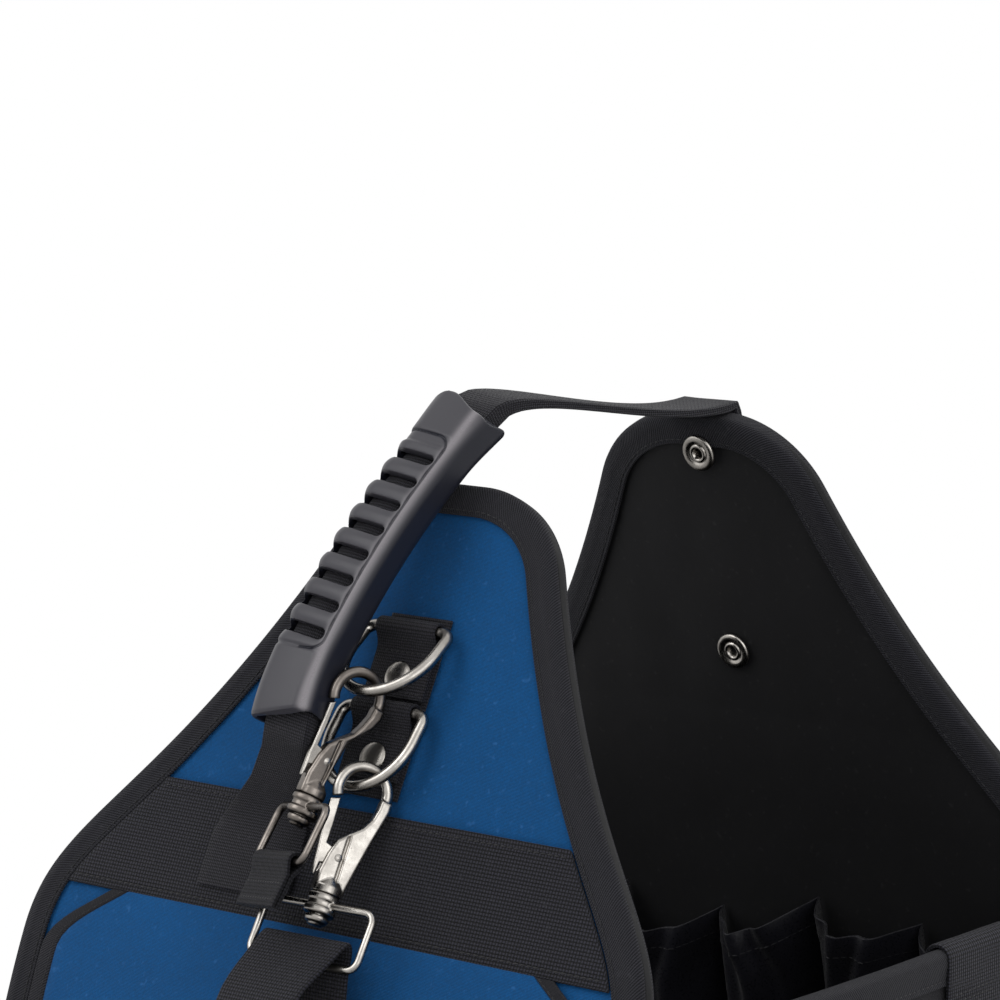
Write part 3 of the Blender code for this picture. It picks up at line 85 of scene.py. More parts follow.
def arc(centre: tuple[float, float], radius: float, start: float, end: float,
        steps: int) -> list[tuple[float, float]]:
    """Points on a circle in a plane, both ends included.

    Args:
        centre: the middle of the circle.
        radius: its radius.
        start: the first angle in degrees.
        end: the last angle in degrees.
        steps: how many steps lie between them.

    Returns:
        The points in order.
    """
    angles = [math.radians(start + (end - start) * i / steps) for i in range(steps + 1)]
    return [(centre[0] + radius * math.cos(a), centre[1] + radius * math.sin(a)) for a in angles]


def rounded_rectangle(half_x: float, half_y: float, radius: float,
                      steps: int = 8) -> list[tuple[float, float]]:
    """The outline of a rectangle with round corners, anticlockwise from its right side.

    Args:
        half_x: half its width.
        half_y: half its height.
        radius: the radius of its corners.
        steps: how many steps each corner has.

    Returns:
        The points in order.
    """
    found = []
    for sign_x, sign_y, start in ((1, 1, 0), (-1, 1, 90), (-1, -1, 180), (1, -1, 270)):
        centre = (sign_x * (half_x - radius), sign_y * (half_y - radius))
        found += arc(centre, radius, start, start + 90, steps)
    return found


def axes(x: Vector, y: Vector, z: Vector, place: Vector) -> Matrix:
    """The matrix that takes local axes to these directions, at this place."""
    return Matrix.Translation(place) @ Matrix((x, y, z)).transposed().to_4x4()


def wander(place: Vector, size: float, seed: float = 0.0) -> float:
    """Smooth noise from -1 to 1 at a place, with features of about this size in metres."""
    return noise.noise(place / size + Vector((seed, seed * 1.7, seed * 0.3)))


def step_up(value: float, low: float, high: float) -> float:
    """A smooth step from 0 at low to 1 at high."""
    share = min(max((value - low) / (high - low), 0.0), 1.0)
    return share * share * (3 - 2 * share)


class Skin:
    """A mesh put together from grids of points, with cloth coordinates in millimetres."""

    def __init__(self) -> None:
        """Starts it empty."""
        self.points: list[Vector] = []
        self.faces: list[tuple[int, ...]] = []
        self.cloth: list[list[tuple[float, float]]] = []
        self.slots: list[int] = []

    def grid(self, rows: Grid, cloth: Cloth, slot: int = 0, flip: bool = False) -> None:
        """Adds a sheet of quads.

        Args:
            rows: the points, row by row.
            cloth: the cloth coordinates of each point.
            slot: the material slot of its faces.
            flip: True to face the other way.
        """
        start, width = len(self.points), len(rows[0])
        self.points += [point for row in rows for point in row]
        for i in range(len(rows) - 1):
            for j in range(width - 1):
                corners = [(i, j), (i, j + 1), (i + 1, j + 1), (i + 1, j)]
                if flip:
                    corners.reverse()
                self.faces.append(tuple(start + a * width + b for a, b in corners))
                self.cloth.append([cloth[a][b] for a, b in corners])
                self.slots.append(slot)

    def fan(self, ring: Sequence[Vector], cloth: Sequence[tuple[float, float]], slot: int = 0) -> None:
        """Closes a ring of points with one face.

        Args:
            ring: the points.
            cloth: their cloth coordinates.
            slot: the material slot.
        """
        start = len(self.points)
        self.points += list(ring)
        self.faces.append(tuple(range(start, start + len(ring))))
        self.cloth.append(list(cloth))
        self.slots.append(slot)

    def tube(self, rings: Grid, closed: bool = False, slot: int = 0, caps: bool = True) -> None:
        """Adds a skin through rings of points that match one to one.

        Args:
            rings: the rings in order, each one closed.
            closed: True to join the last ring to the first.
            slot: the material slot.
            caps: True to close the two open ends.
        """
        rows = [list(ring) + [ring[0]] for ring in rings]
        if closed:
            rows.append(rows[0])
        middles = [sum(row[:-1], Vector()) / (len(row) - 1) for row in rows]
        cloth, along = [], 0.0
        for i, row in enumerate(rows):
            if i:
                along += (middles[i] - middles[i - 1]).length / MM
            across, line = 0.0, []
            for j, point in enumerate(row):
                if j:
                    across += (point - row[j - 1]).length / MM
                line.append((across, along))
            cloth.append(line)
        self.grid(rows, cloth, slot)
        if caps and not closed:
            for row in (rows[0], rows[-1]):
                flat = [(point - row[0]) / MM for point in row[:-1]]
                self.fan(row[:-1], [(p.x + p.y, p.z) for p in flat], slot)

    def slab(self, front: Grid, back: Grid, cloth: Cloth, slots: tuple[int, int, int] = (0, 0, 0)) -> None:
        """Adds a closed sheet with a round rim between two grids of the same size.

        Args:
            front: the points of its front.
            back: the points of its back.
            cloth: the cloth coordinates of both.
            slots: the material slots of the front, the back and the rim.
        """
        self.grid(front, cloth, slots[0])
        self.grid(back, cloth, slots[1], flip=True)
        rows, columns = len(front), len(front[0])
        rim = [(0, j, 1, j) for j in range(columns)]
        rim += [(i, columns - 1, i, columns - 2) for i in range(rows)]
        rim += [(rows - 1, j, rows - 2, j) for j in range(columns - 1, -1, -1)]
        rim += [(i, 0, i, 1) for i in range(rows - 1, -1, -1)]
        lines, coords = [], []
        for a, b, c, d in rim:
            top, low = front[a][b], back[a][b]
            out = (top + low - front[c][d] - back[c][d]).normalized()
            half = (top - low).length / 2
            line = []
            for k in range(5):
                angle = math.pi * k / 4
                line.append((top + low) / 2 + (top - low) / 2 * math.cos(angle)
                            + out * (half * 0.8 * math.sin(angle)))
            lines.append(line)
            u, v = cloth[a][b]
            coords.append([(u + k * half / MM, v + k * half / MM) for k in range(5)])
        lines.append(lines[0])
        coords.append(coords[0])
        self.grid(lines, coords, slots[2])

    def mesh(self) -> bpy.types.Mesh:
        """The welded mesh, with its normals outwards.

        Returns:
            The mesh.
        """
        data = bpy.data.meshes.new("skin")
        data.from_pydata([tuple(p) for p in self.points], [], self.faces)
        layer = data.uv_layers.new(name="cloth")
        flat = [value for face in self.cloth for pair in face for value in pair]
        layer.data.foreach_set("uv", flat)
        data.polygons.foreach_set("material_index", self.slots)
        work = bmesh.new()
        work.from_mesh(data)
        bmesh.ops.remove_doubles(work, verts=work.verts, dist=0.002 * MM)
        bmesh.ops.dissolve_degenerate(work, edges=work.edges, dist=0.001 * MM)
        bmesh.ops.recalc_face_normals(work, faces=work.faces)
        work.to_mesh(data)
        work.free()
        return data


class Sheet:
    """A cloth sheet put together row by row, from its front, its back and its cloth coordinates."""

    def __init__(self) -> None:
        """Starts it empty."""
        self.front: Grid = []
        self.back: Grid = []
        self.cloth: Cloth = []

    def row(self) -> None:
        """Starts the next row."""
        for part in (self.front, self.back, self.cloth):
            part.append([])

    def add(self, front: Vector, back: Vector, across: float, along: float) -> None:
        """Adds a place to the last row.

        Args:
            front: its point on the front.
            back: its point on the back.
            across: its cloth coordinate across, in metres.
            along: its cloth coordinate along, in metres.
        """
        self.front[-1].append(front)
        self.back[-1].append(back)
        self.cloth[-1].append((across / MM, along / MM))

    def mesh(self, slots: tuple[int, int, int] = (0, 0, 0), hem: int = 0) -> bpy.types.Mesh:
        """The closed sheet as a mesh.

        Args:
            slots: the material slots of its front, its back and its rim.
            hem: how many of its last rows are bound, in the next material slot.

        Returns:
            The mesh.
        """
        skin = Skin()
        split = len(self.front) - hem
        skin.slab(self.front[:split], self.back[:split], self.cloth[:split], slots)
        if hem:
            start = split - 1
            skin.slab(self.front[start:], self.back[start:], self.cloth[start:], (1, 1, 1))
        return skin.mesh()


def tubed(rings: Grid, closed: bool = False, caps: bool = True) -> bpy.types.Mesh:
    """The mesh of one tube through rings of points.

    Args:
        rings: the rings in order, each one closed.
        closed: True to join the last ring to the first.
        caps: True to close the two open ends.

    Returns:
        The mesh.
    """
    skin = Skin()
    skin.tube(rings, closed=closed, caps=caps)
    return skin.mesh()


def joined(meshes: Iterable[bpy.types.Mesh]) -> bpy.types.Mesh:
    """One mesh with the shapes of several.

    Args:
        meshes: the shapes.

    Returns:
        The mesh.
    """
    work = bmesh.new()
    for mesh in meshes:
        work.from_mesh(mesh)
    data = bpy.data.meshes.new("joined")
    work.to_mesh(data)
    work.free()
    return data


def evaluated(mesh: bpy.types.Mesh, add: Callable[[bpy.types.Object], None]) -> bpy.types.Mesh:
    """The mesh after modifiers.

    Args:
        mesh: the mesh to start from.
        add: puts the modifiers on an object that holds it.

    Returns:
        A new mesh with the result.
    """
    obj = bpy.data.objects.new("work", mesh)
    bpy.context.scene.collection.objects.link(obj)
    add(obj)
    bpy.context.view_layer.update()
    graph = bpy.context.evaluated_depsgraph_get()
    result = bpy.data.meshes.new_from_object(obj.evaluated_get(graph))
    bpy.data.objects.remove(obj)
    return result


def cut(mesh: bpy.types.Mesh, tools: Sequence[bpy.types.Mesh]) -> bpy.types.Mesh:
    """The mesh with these closed shapes cut away.

    Args:
        mesh: the shape.
        tools: what is cut away.

    Returns:
        The new mesh.
    """
    cutters = []
    for tool in tools:
        cutter = bpy.data.objects.new("cutter", tool)
        bpy.context.scene.collection.objects.link(cutter)
        cutters.append(cutter)

    def add(obj: bpy.types.Object) -> None:
        """Puts one Boolean on the object for each cutter.

        Args:
            obj: the object.
        """
        for cutter in cutters:
            modifier = obj.modifiers.new("cut", "BOOLEAN")
            modifier.operation = "DIFFERENCE"
            modifier.solver = "EXACT"
            modifier.object = cutter

    result = evaluated(mesh, add)
    for cutter in cutters:
        bpy.data.objects.remove(cutter)
    return result


def cast(mesh: bpy.types.Mesh, voxel: float, rounds: int) -> bpy.types.Mesh:
    """The mesh as one casting: joined where its pieces meet, with its edges softened.

    Args:
        mesh: closed shapes that overlap.
        voxel: the grain of the new skin in metres.
        rounds: how many times it is smoothed.

    Returns:
        The new mesh.
    """
    def add(obj: bpy.types.Object) -> None:
        """Remeshes and smooths the object.

        Args:
            obj: the object.
        """
        remesh = obj.modifiers.new("cast", "REMESH")
        remesh.mode = "VOXEL"
        remesh.voxel_size = voxel
        smooth = obj.modifiers.new("polish", "SMOOTH")
        smooth.factor = 0.5
        smooth.iterations = rounds

    return evaluated(mesh, add)


def distance_from(line: Sequence[Vector]) -> Callable[[Vector], float]:
    """A measure of how far a place is from the nearest of these points.

    Args:
        line: the points.

    Returns:
        A function from a place to its distance.
    """
    tree = kdtree.KDTree(len(line))
    for index, point in enumerate(line):
        tree.insert(point, index)
    tree.balance()
    return lambda place: tree.find(place)[2]


def engraved(mesh: bpy.types.Mesh, line: Sequence[Vector], depth: float, width: float) -> bpy.types.Mesh:
    """The mesh with a fine groove pressed into it along a line.

    Args:
        mesh: a dense mesh, which is changed.
        line: points along the groove, close together.
        depth: how deep it is.
        width: how wide it is.

    Returns:
        The same mesh.
    """
    measure = distance_from(line)
    normals = [vertex.normal.copy() for vertex in mesh.vertices]
    for vertex, normal in zip(mesh.vertices, normals):
        distance = measure(vertex.co)
        if distance < width:
            vertex.co -= normal * depth * math.exp(-(2.2 * distance / width) ** 2)
    mesh.update()
    return mesh


def wire(points: Sequence[Vector], radius: float, closed: bool = False, sides: int = 18) -> bpy.types.Mesh:
    """A round wire through the points, carried without twist.

    Args:
        points: the wire's middle line.
        radius: its radius.
        closed: True for a ring.
        sides: how many faces go round it.

    Returns:
        The mesh.
    """
    count = len(points)
    spokes = []
    normal = Vector((0.13, 0.29, 0.95))
    for i in range(count + closed):
        after = points[(i + 1) % count] if closed else points[min(i + 1, count - 1)]
        before = points[(i - 1) % count] if closed else points[max(i - 1, 0)]
        along = (after - before).normalized()
        normal = (normal - along * normal.dot(along)).normalized()
        spokes.append((points[i % count], along, normal))
    twist = 0.0
    if closed:
        first, last = spokes[0][2], spokes.pop()[2]
        twist = math.atan2(last.cross(first).dot(spokes[0][1]), last.dot(first))
    rings = []
    for i, (point, along, normal) in enumerate(spokes):
        side = along.cross(normal)
        angles = [2 * math.pi * k / sides + twist * i / count for k in range(sides)]
        rings.append([point + (normal * math.cos(a) + side * math.sin(a)) * radius for a in angles])
    return tubed(rings, closed=closed)


def turned(profile: Sequence[tuple[float, float]], steps: int = 48) -> bpy.types.Mesh:
    """A profile of (radius, height) pairs turned about Z.

    Args:
        profile: the pairs in order.
        steps: how many faces go round it.

    Returns:
        The mesh.
    """
    rings = [[Vector((radius * math.cos(2 * math.pi * k / steps), radius * math.sin(2 * math.pi * k / steps),
                      height))
              for k in range(steps)] for radius, height in profile]
    return tubed(rings, caps=False)


def plate(outline: Sequence[tuple[float, float]], thickness: float, rounding: float) -> bpy.types.Mesh:
    """A flat shape in XY with its edges rounded.

    Args:
        outline: its points in order.
        thickness: how thick it is along Z.
        rounding: the radius of its edges.

    Returns:
        The mesh.
    """
    work = bmesh.new()
    low = [work.verts.new((x, y, -thickness / 2)) for x, y in outline]
    face = work.faces.new(low)
    grown = bmesh.ops.extrude_face_region(work, geom=[face])
    top = [item for item in grown["geom"] if isinstance(item, bmesh.types.BMVert)]
    bmesh.ops.translate(work, vec=(0, 0, thickness), verts=top)
    bmesh.ops.recalc_face_normals(work, faces=work.faces)
    edges = [edge for edge in work.edges if abs(edge.verts[0].co.z - edge.verts[1].co.z) < thickness / 2]
    if rounding > 0:
        bmesh.ops.bevel(work, geom=edges, offset=rounding, segments=4, profile=0.5, affect="EDGES")
    data = bpy.data.meshes.new("plate")
    work.to_mesh(data)
    work.free()
    return data


@dataclass
class Station:
    """One place along a strap: its middle, the directions across and outwards, its size and its crown."""

    place: Vector
    across: Vector
    out: Vector
    width: float
    thickness: float
    crown: float = 0.0


def eased(stations: Sequence[Station], spacing: float) -> list[Station]:
    """Stations on a smooth curve through the given ones.

    Args:
        stations: the given ones, in order.
        spacing: about how far apart the new ones lie.

    Returns:
        The new stations, both ends included.
    """
    found = []
    for i in range(len(stations) - 1):
        near = [stations[max(i - 1, 0)], stations[i], stations[i + 1],
                stations[min(i + 2, len(stations) - 1)]]
        count = max(int((near[2].place - near[1].place).length / spacing), 1)
        for k in range(count + (i == len(stations) - 2)):
            t = k / count
            weights = (-t / 2 + t * t - t ** 3 / 2, 1 - 2.5 * t * t + 1.5 * t ** 3,
                       t / 2 + 2 * t * t - 1.5 * t ** 3, (t ** 3 - t * t) / 2)
            place = sum((w * s.place for w, s in zip(weights, near)), Vector())
            across = near[1].across.lerp(near[2].across, t).normalized()
            out = near[1].out.lerp(near[2].out, t)
            out = (out - across * out.dot(across)).normalized()
            sizes = [getattr(near[1], key) * (1 - t) + getattr(near[2], key) * t
                     for key in ("width", "thickness", "crown")]
            found.append(Station(place, across, out, *sizes))
    return found


def folded(points: Sequence[Vector], across: Vector, width: float, thickness: float,
           side: int = 1) -> list[Station]:
    """Stations of webbing that is bent only along its length.

    Args:
        points: its middle line.
        across: the direction across it.
        width: its width.
        thickness: its thickness.
        side: 1 or -1, for the side of its run on which its outside lies.

    Returns:
        One station for each point.
    """
    found = []
    for i, point in enumerate(points):
        along = (points[min(i + 1, len(points) - 1)] - points[max(i - 1, 0)]).normalized()
        found.append(Station(point, across, across.cross(along) * side, width, thickness))
    return found


def strap(stations: Sequence[Station], layers: int = 1, ripple: float = 0.0, columns: int = 8,
          seed: float = 0.0) -> bpy.types.Mesh:
    """A woven strap along its stations, with round selvedges.

    Args:
        stations: where it runs.
        layers: 2 for a doubled strap, whose edges show the groove between its layers.
        ripple: how far its faces wander in and out, in metres.
        columns: how many faces lie across it.
        seed: moves the wandering.

    Returns:
        The mesh.
    """
    rings = []
    for station in stations:
        half, thick = station.width / 2, station.thickness / 2
        edge = min(thick, 1.0 * MM)
        ring = []
        for side in (1, -1):
            for j in range(columns + 1):
                share = side * (2 * j / columns - 1)
                x = share * (half - edge)
                spot = station.place + station.across * x
                lift = ripple * wander(spot, 14 * MM, seed) * (1 - abs(share) ** 4)
                lift += station.crown * (1 - share * share) * (side > 0)
                ring.append(spot + station.out * (side * thick + lift))
            folds = [(45, 1.0), (0, 0.35 if layers == 2 else 1.0), (-45, 1.0)]
            for angle, reach in folds:
                a = math.radians(angle)
                ring.append(station.place
                            + station.across * (side * (half - edge + edge * math.cos(a) * reach))
                            + station.out * (side * thick * math.sin(a)))
        rings.append(ring)
    return tubed(rings)


@dataclass
class Seam:
    """A row of stitches: where it runs, and which way it faces."""

    places: list[Vector]
    facing: list[Vector]
    pitch: float = 3.3 * MM
    thread: float = 0.32 * MM


def stitches(seams: Sequence[Seam]) -> bpy.types.Mesh:
    """The threads of several seams, each stitch a small pillow sunk at both ends.

    Args:
        seams: the seams.

    Returns:
        One mesh with all their stitches.
    """
    skin = Skin()
    for seam in seams:
        lengths = [0.0]
        for first, second in zip(seam.places, seam.places[1:]):
            lengths.append(lengths[-1] + (second - first).length)
        count = int(lengths[-1] / seam.pitch)
        at = 0
        for n in range(count):
            middle = (n + 0.5) * lengths[-1] / count
            while at < len(lengths) - 2 and lengths[at + 1] < middle:
                at += 1
            share = (middle - lengths[at]) / max(lengths[at + 1] - lengths[at], 1e-9)
            place = seam.places[at].lerp(seam.places[at + 1], share)
            out = seam.facing[at].lerp(seam.facing[at + 1], share).normalized()
            along = (seam.places[at + 1] - seam.places[at]).normalized()
            side = along.cross(out)
            reach = seam.pitch * 0.42
            rings = []
            for k in range(5):
                t = k / 2 - 1
                size = seam.thread * math.sqrt(max(1 - 0.92 * t * t, 0.0))
                centre = place + along * (t * reach) + out * (seam.thread * (0.55 - 0.75 * t * t))
                rings.append([centre + (side * math.cos(math.pi * 2 * q / 6)
                                        + out * math.sin(math.pi * 2 * q / 6)) * size for q in range(6)])
            skin.tube(rings)
    return skin.mesh()


# Finishes


class Nodes:
    """A short way to write the nodes of one tree."""

    def __init__(self, tree: bpy.types.NodeTree) -> None:
        """Starts on a tree."""
        self.tree = tree

    def add(self, kind: str, inputs: dict | None = None, **settings: object) -> bpy.types.Node:
        """Adds a node.

        Args:
            kind: its Blender name, such as ShaderNodeMath.
            inputs: what goes into its sockets, values or other sockets.
            settings: its own properties.

        Returns:
            The node.
        """
        node = self.tree.nodes.new(kind)
        for name, value in settings.items():
            setattr(node, name, value)
        for key, value in (inputs or {}).items():
            self.feed(node.inputs[key], value)
        return node

    def feed(self, socket: bpy.types.NodeSocket, value: object) -> None:
        """Links a socket into another, or sets its value.

        Args:
            socket: the socket to feed.
            value: a value or another socket.
        """
        if isinstance(value, bpy.types.NodeSocket):
            self.tree.links.new(value, socket)
        else:
            socket.default_value = value

    def math(self, operation: str, *values: object) -> bpy.types.NodeSocket:
        """One Math node's result.

        Args:
            operation: its Blender name.
            values: what goes in.

        Returns:
            The result's socket.
        """
        node = self.add("ShaderNodeMath", operation=operation)
        for socket, value in zip(node.inputs, values):
            self.feed(socket, value)
        return node.outputs[0]

    def mix(self, factor: object, first: object, second: object, blend: str = "MIX") -> bpy.types.NodeSocket:
        """The mix of two colours.

        Args:
            factor: how much of the second.
            first: a colour.
            second: another.
            blend: how they are mixed.

        Returns:
            The result's socket.
        """
        node = self.add("ShaderNodeMix", data_type="RGBA", blend_type=blend)
        self.feed(node.inputs[0], factor)
        self.feed(node.inputs[6], first if not isinstance(first, tuple) else (*first[:3], 1.0))
        self.feed(node.inputs[7], second if not isinstance(second, tuple) else (*second[:3], 1.0))
        return node.outputs[2]

    def noise(self, vector: object, scale: float, detail: float = 3.0,
              rough: float = 0.55) -> bpy.types.NodeSocket:
        """A Noise Texture's factor, from a place and the noise's own settings."""
        node = self.add("ShaderNodeTexNoise",
                        {"Vector": vector, "Scale": scale, "Detail": detail, "Roughness": rough})
        return node.outputs[0]

    def bump(self, shader: bpy.types.Node, height: bpy.types.NodeSocket, strength: float) -> None:
        """Bumps a shader's surface by a height in metres.

        Args:
            shader: the shader.
            height: the height over its surface.
            strength: how much of it is kept.
        """
        node = self.add("ShaderNodeBump", {"Height": height, "Distance": 1.0, "Strength": strength})
        self.feed(shader.inputs["Normal"], node.outputs[0])

    def ramp(self, factor: object, low: float, high: float) -> bpy.types.NodeSocket:
        """A factor stretched so that low becomes 0 and high becomes 1."""
        node = self.add("ShaderNodeMapRange", {"Value": factor, "From Min": low, "From Max": high})
        return node.outputs[0]


def new_group(name: str, ins: Sequence[tuple[str, str, object]], outs: Sequence[tuple[str, str]]) -> tuple:
    """Starts a node group.

    Args:
        name: its name.
        ins: the name, socket type and default of each input.
        outs: the name and socket type of each output.

    Returns:
        The tree, a Nodes for it, its input node and its output node.
    """
    tree = bpy.data.node_groups.new(name, "ShaderNodeTree")
    for label, kind, value in ins:
        socket = tree.interface.new_socket(label, in_out="INPUT", socket_type=kind)
        if value is not None:
            socket.default_value = value
    for label, kind in outs:
        tree.interface.new_socket(label, in_out="OUTPUT", socket_type=kind)
    nodes = Nodes(tree)
    return tree, nodes, nodes.add("NodeGroupInput"), nodes.add("NodeGroupOutput")


class Weave(Enum):
    """How a cloth's yarns cross."""

    PLAIN = "plain"
    TWILL = "twill"


class Effects:
    """The node groups that several finishes share."""

    @staticmethod
    def weave_group(name: str) -> tuple:
        """Starts the group of a weave, which counts its yarns from cloth coordinates in millimetres.

        Args:
            name: the group's name.

        Returns:
            The tree, a Nodes for it, its output node, and the yarn counts across and along.
        """
        sockets = [("Cloth", "NodeSocketVector", None)]
        sockets += [(label, "NodeSocketFloat", 1.0) for label in ("Across", "Along")]
        tree, n, start, end = new_group(name, sockets,
                                        [("Height", "NodeSocketFloat"), ("Over", "NodeSocketFloat")])
        parts = n.add("ShaderNodeSeparateXYZ", {0: start.outputs[0]})
        counts = [n.math("DIVIDE", parts.outputs[k], start.outputs[k + 1]) for k in range(2)]
        return tree, n, end, *counts

    @staticmethod
    @lru_cache(maxsize=None)
    def plain_weave() -> bpy.types.NodeTree:
        """Yarns that cross one over one.

        Returns:
            The group.
        """
        tree, n, end, across, along = Effects.weave_group("plain_weave")
        first, second = (n.math("SINE", n.math("MULTIPLY", count, math.pi)) for count in (across, along))
        wide, tall = n.math("ABSOLUTE", first), n.math("ABSOLUTE", second)
        over = n.math("GREATER_THAN", n.math("MULTIPLY", first, second), 0.0)
        warp = n.math("MULTIPLY", wide, n.math("MULTIPLY_ADD", tall, 0.6, 0.4))
        weft = n.math("MULTIPLY", tall, n.math("MULTIPLY_ADD", wide, 0.6, 0.4))
        gap = n.math("SUBTRACT", warp, weft)
        n.feed(end.inputs[0], n.math("MULTIPLY_ADD", gap, over, weft))
        n.feed(end.inputs[1], over)
        return tree

    @staticmethod
    @lru_cache(maxsize=None)
    def twill() -> bpy.types.NodeTree:
        """Slanting ribs crossed by finer yarns.

        Returns:
            The group.
        """
        tree, n, end, across, along = Effects.weave_group("twill")
        rib = n.math("ABSOLUTE", n.math("SINE", n.math("MULTIPLY", n.math("ADD", across, along), math.pi)))
        fine = n.math("ABSOLUTE", n.math("SINE", n.math("MULTIPLY", along, 2 * math.pi)))
        n.feed(end.inputs[0], n.math("MULTIPLY", rib, n.math("MULTIPLY_ADD", fine, 0.45, 0.55)))
        n.feed(end.inputs[1], fine)
        return tree

    @staticmethod
    @lru_cache(maxsize=None)
    def handling() -> bpy.types.NodeTree:
        """Broad uneven shade, fine specks and lint, from a place on the object.

        Returns:
            The group.
        """
        tree, n, start, end = new_group(
            "handling", [("Place", "NodeSocketVector", None)],
            [("Shade", "NodeSocketFloat"), ("Speck", "NodeSocketFloat"), ("Lint", "NodeSocketFloat")])
        broad = n.noise(start.outputs[0], 22.0, 4.0)
        fine = n.noise(start.outputs[0], 900.0, 2.0, 0.7)
        lint = n.noise(start.outputs[0], 330.0, 1.0, 0.4)
        n.feed(end.inputs[0], n.ramp(broad, 0.25, 0.75))
        n.feed(end.inputs[1], n.ramp(fine, 0.3, 0.7))
        n.feed(end.inputs[2], n.math("POWER", n.ramp(lint, 0.62, 0.8), 2.0))
        return tree


class Finish:
    """What all the finishes share: one material, made the first time that it is asked for."""

    name: str
    made: dict[str, bpy.types.Material] = {}

    def material(self) -> bpy.types.Material:
        """The finish's Blender material.

        Returns:
            The material.
        """
        if self.name not in Finish.made:
            material = bpy.data.materials.new(self.name)
            material.use_nodes = True
            self.write(Nodes(material.node_tree), material.node_tree.nodes["Principled BSDF"])
            Finish.made[self.name] = material
        return Finish.made[self.name]

    def write(self, n: Nodes, shader: bpy.types.Node) -> None:
        """Writes the nodes. Each finish has its own."""
        raise NotImplementedError


@dataclass(frozen=True)
class Woven(Finish):
    """A cloth, tape or webbing. Pitches and relief are in millimetres."""

    name: str
    colour: Colour
    valley: Colour
    across: float
    along: float
    relief: float
    roughness: float = 0.85
    sheen: float = 0.25
    weave: Weave = Weave.PLAIN
    unevenness: float = 0.25
    crease: float = 0.0
    lint: float = 0.05

    def write(self, n: Nodes, shader: bpy.types.Node) -> None:
        """Yarns from the cloth coordinates, with uneven shade, lint and soft creases.

        Args:
            n: the writer of the material's tree.
            shader: its Principled BSDF.
        """
        cloth = n.add("ShaderNodeUVMap", uv_map="cloth").outputs[0]
        place = n.add("ShaderNodeTexCoord").outputs["Object"]
        group = Effects.twill() if self.weave is Weave.TWILL else Effects.plain_weave()
        yarn = n.add("ShaderNodeGroup", node_tree=group)
        for label, value in (("Cloth", cloth), ("Across", self.across), ("Along", self.along)):
            n.feed(yarn.inputs[label], value)
        life = n.add("ShaderNodeGroup", node_tree=Effects.handling())
        n.feed(life.inputs["Place"], place)
        body = n.mix(n.ramp(yarn.outputs["Height"], 0.35, 0.85), self.valley, self.colour)
        shade = n.math("MULTIPLY_ADD", life.outputs["Shade"], self.unevenness, 1 - self.unevenness / 2)
        speck = n.math("MULTIPLY_ADD", life.outputs["Speck"], 0.3, 0.85)
        tone = n.math("MULTIPLY", shade, speck)
        both = n.add("ShaderNodeCombineXYZ", {0: tone, 1: tone, 2: tone}).outputs[0]
        body = n.mix(1.0, body, both, "MULTIPLY")
        pale = tuple(min(value * 1.6 + 0.05, 1.0) for value in self.colour)
        body = n.mix(n.math("MULTIPLY", life.outputs["Lint"], self.lint), body, pale)
        n.feed(shader.inputs["Base Color"], body)
        n.feed(shader.inputs["Roughness"],
               n.math("MULTIPLY_ADD", life.outputs["Speck"], 0.1, self.roughness - 0.05))
        shader.inputs["Sheen Weight"].default_value = self.sheen
        shader.inputs["Sheen Roughness"].default_value = 0.45
        shader.inputs["Specular IOR Level"].default_value = 0.2
        height = n.math("MULTIPLY", yarn.outputs["Height"], self.relief * MM)
        height = n.math("MULTIPLY_ADD", life.outputs["Speck"], self.relief * 0.25 * MM, height)
        if self.crease:
            soft = n.noise(place, 45.0, 2.0)
            height = n.math("MULTIPLY_ADD", soft, self.crease * MM, height)
        n.bump(shader, height, 0.9)


@dataclass(frozen=True)
class Moulded(Finish):
    """Moulded plastic or rubber with a fine grain and uneven paler patches, and an optional painted
    highlight.
    """

    name: str
    colour: Colour
    worn: Colour
    roughness: float
    grain: float
    grain_scale: float = 1500.0
    # The colour of the painted highlight, laid on where the mesh's highlight mask is high; None for none.
    painted_highlight: Colour | None = None

    def write(self, n: Nodes, shader: bpy.types.Node) -> None:
        """Fine spark-eroded grain, faint flow marks, paler scuffs and, where a colour is given, a painted
        highlight.

        Args:
            n: the writer of the material's tree.
            shader: its Principled BSDF.
        """
        place = n.add("ShaderNodeTexCoord").outputs["Object"]
        broad = n.ramp(n.noise(place, 35.0, 4.0), 0.35, 0.75)
        fine = n.noise(place, self.grain_scale, 2.0, 0.6)
        scuff = n.ramp(n.noise(place, 260.0, 3.0, 0.7), 0.6, 0.78)
        body = n.mix(n.math("MULTIPLY_ADD", broad, 0.45, n.math("MULTIPLY", scuff, 0.2)), self.colour,
                     self.worn)
        rough = n.math("MULTIPLY_ADD", broad, -0.1, n.math("MULTIPLY_ADD", fine, 0.12, self.roughness))
        # Painted highlight: the per-vertex mask lightens the colour towards the highlight colour and makes it
        # a little glossier.
        if self.painted_highlight:
            highlight_mask = n.add("ShaderNodeAttribute", attribute_name="highlight_mask").outputs["Fac"]
            body = n.mix(highlight_mask, body, self.painted_highlight)
            rough = n.math("MULTIPLY_ADD", highlight_mask, -0.12, rough)
        n.feed(shader.inputs["Base Color"], body)
        n.feed(shader.inputs["Roughness"], rough)
        shader.inputs["Specular IOR Level"].default_value = 0.3
        n.bump(shader, n.math("MULTIPLY", fine, self.grain * MM), 0.8)


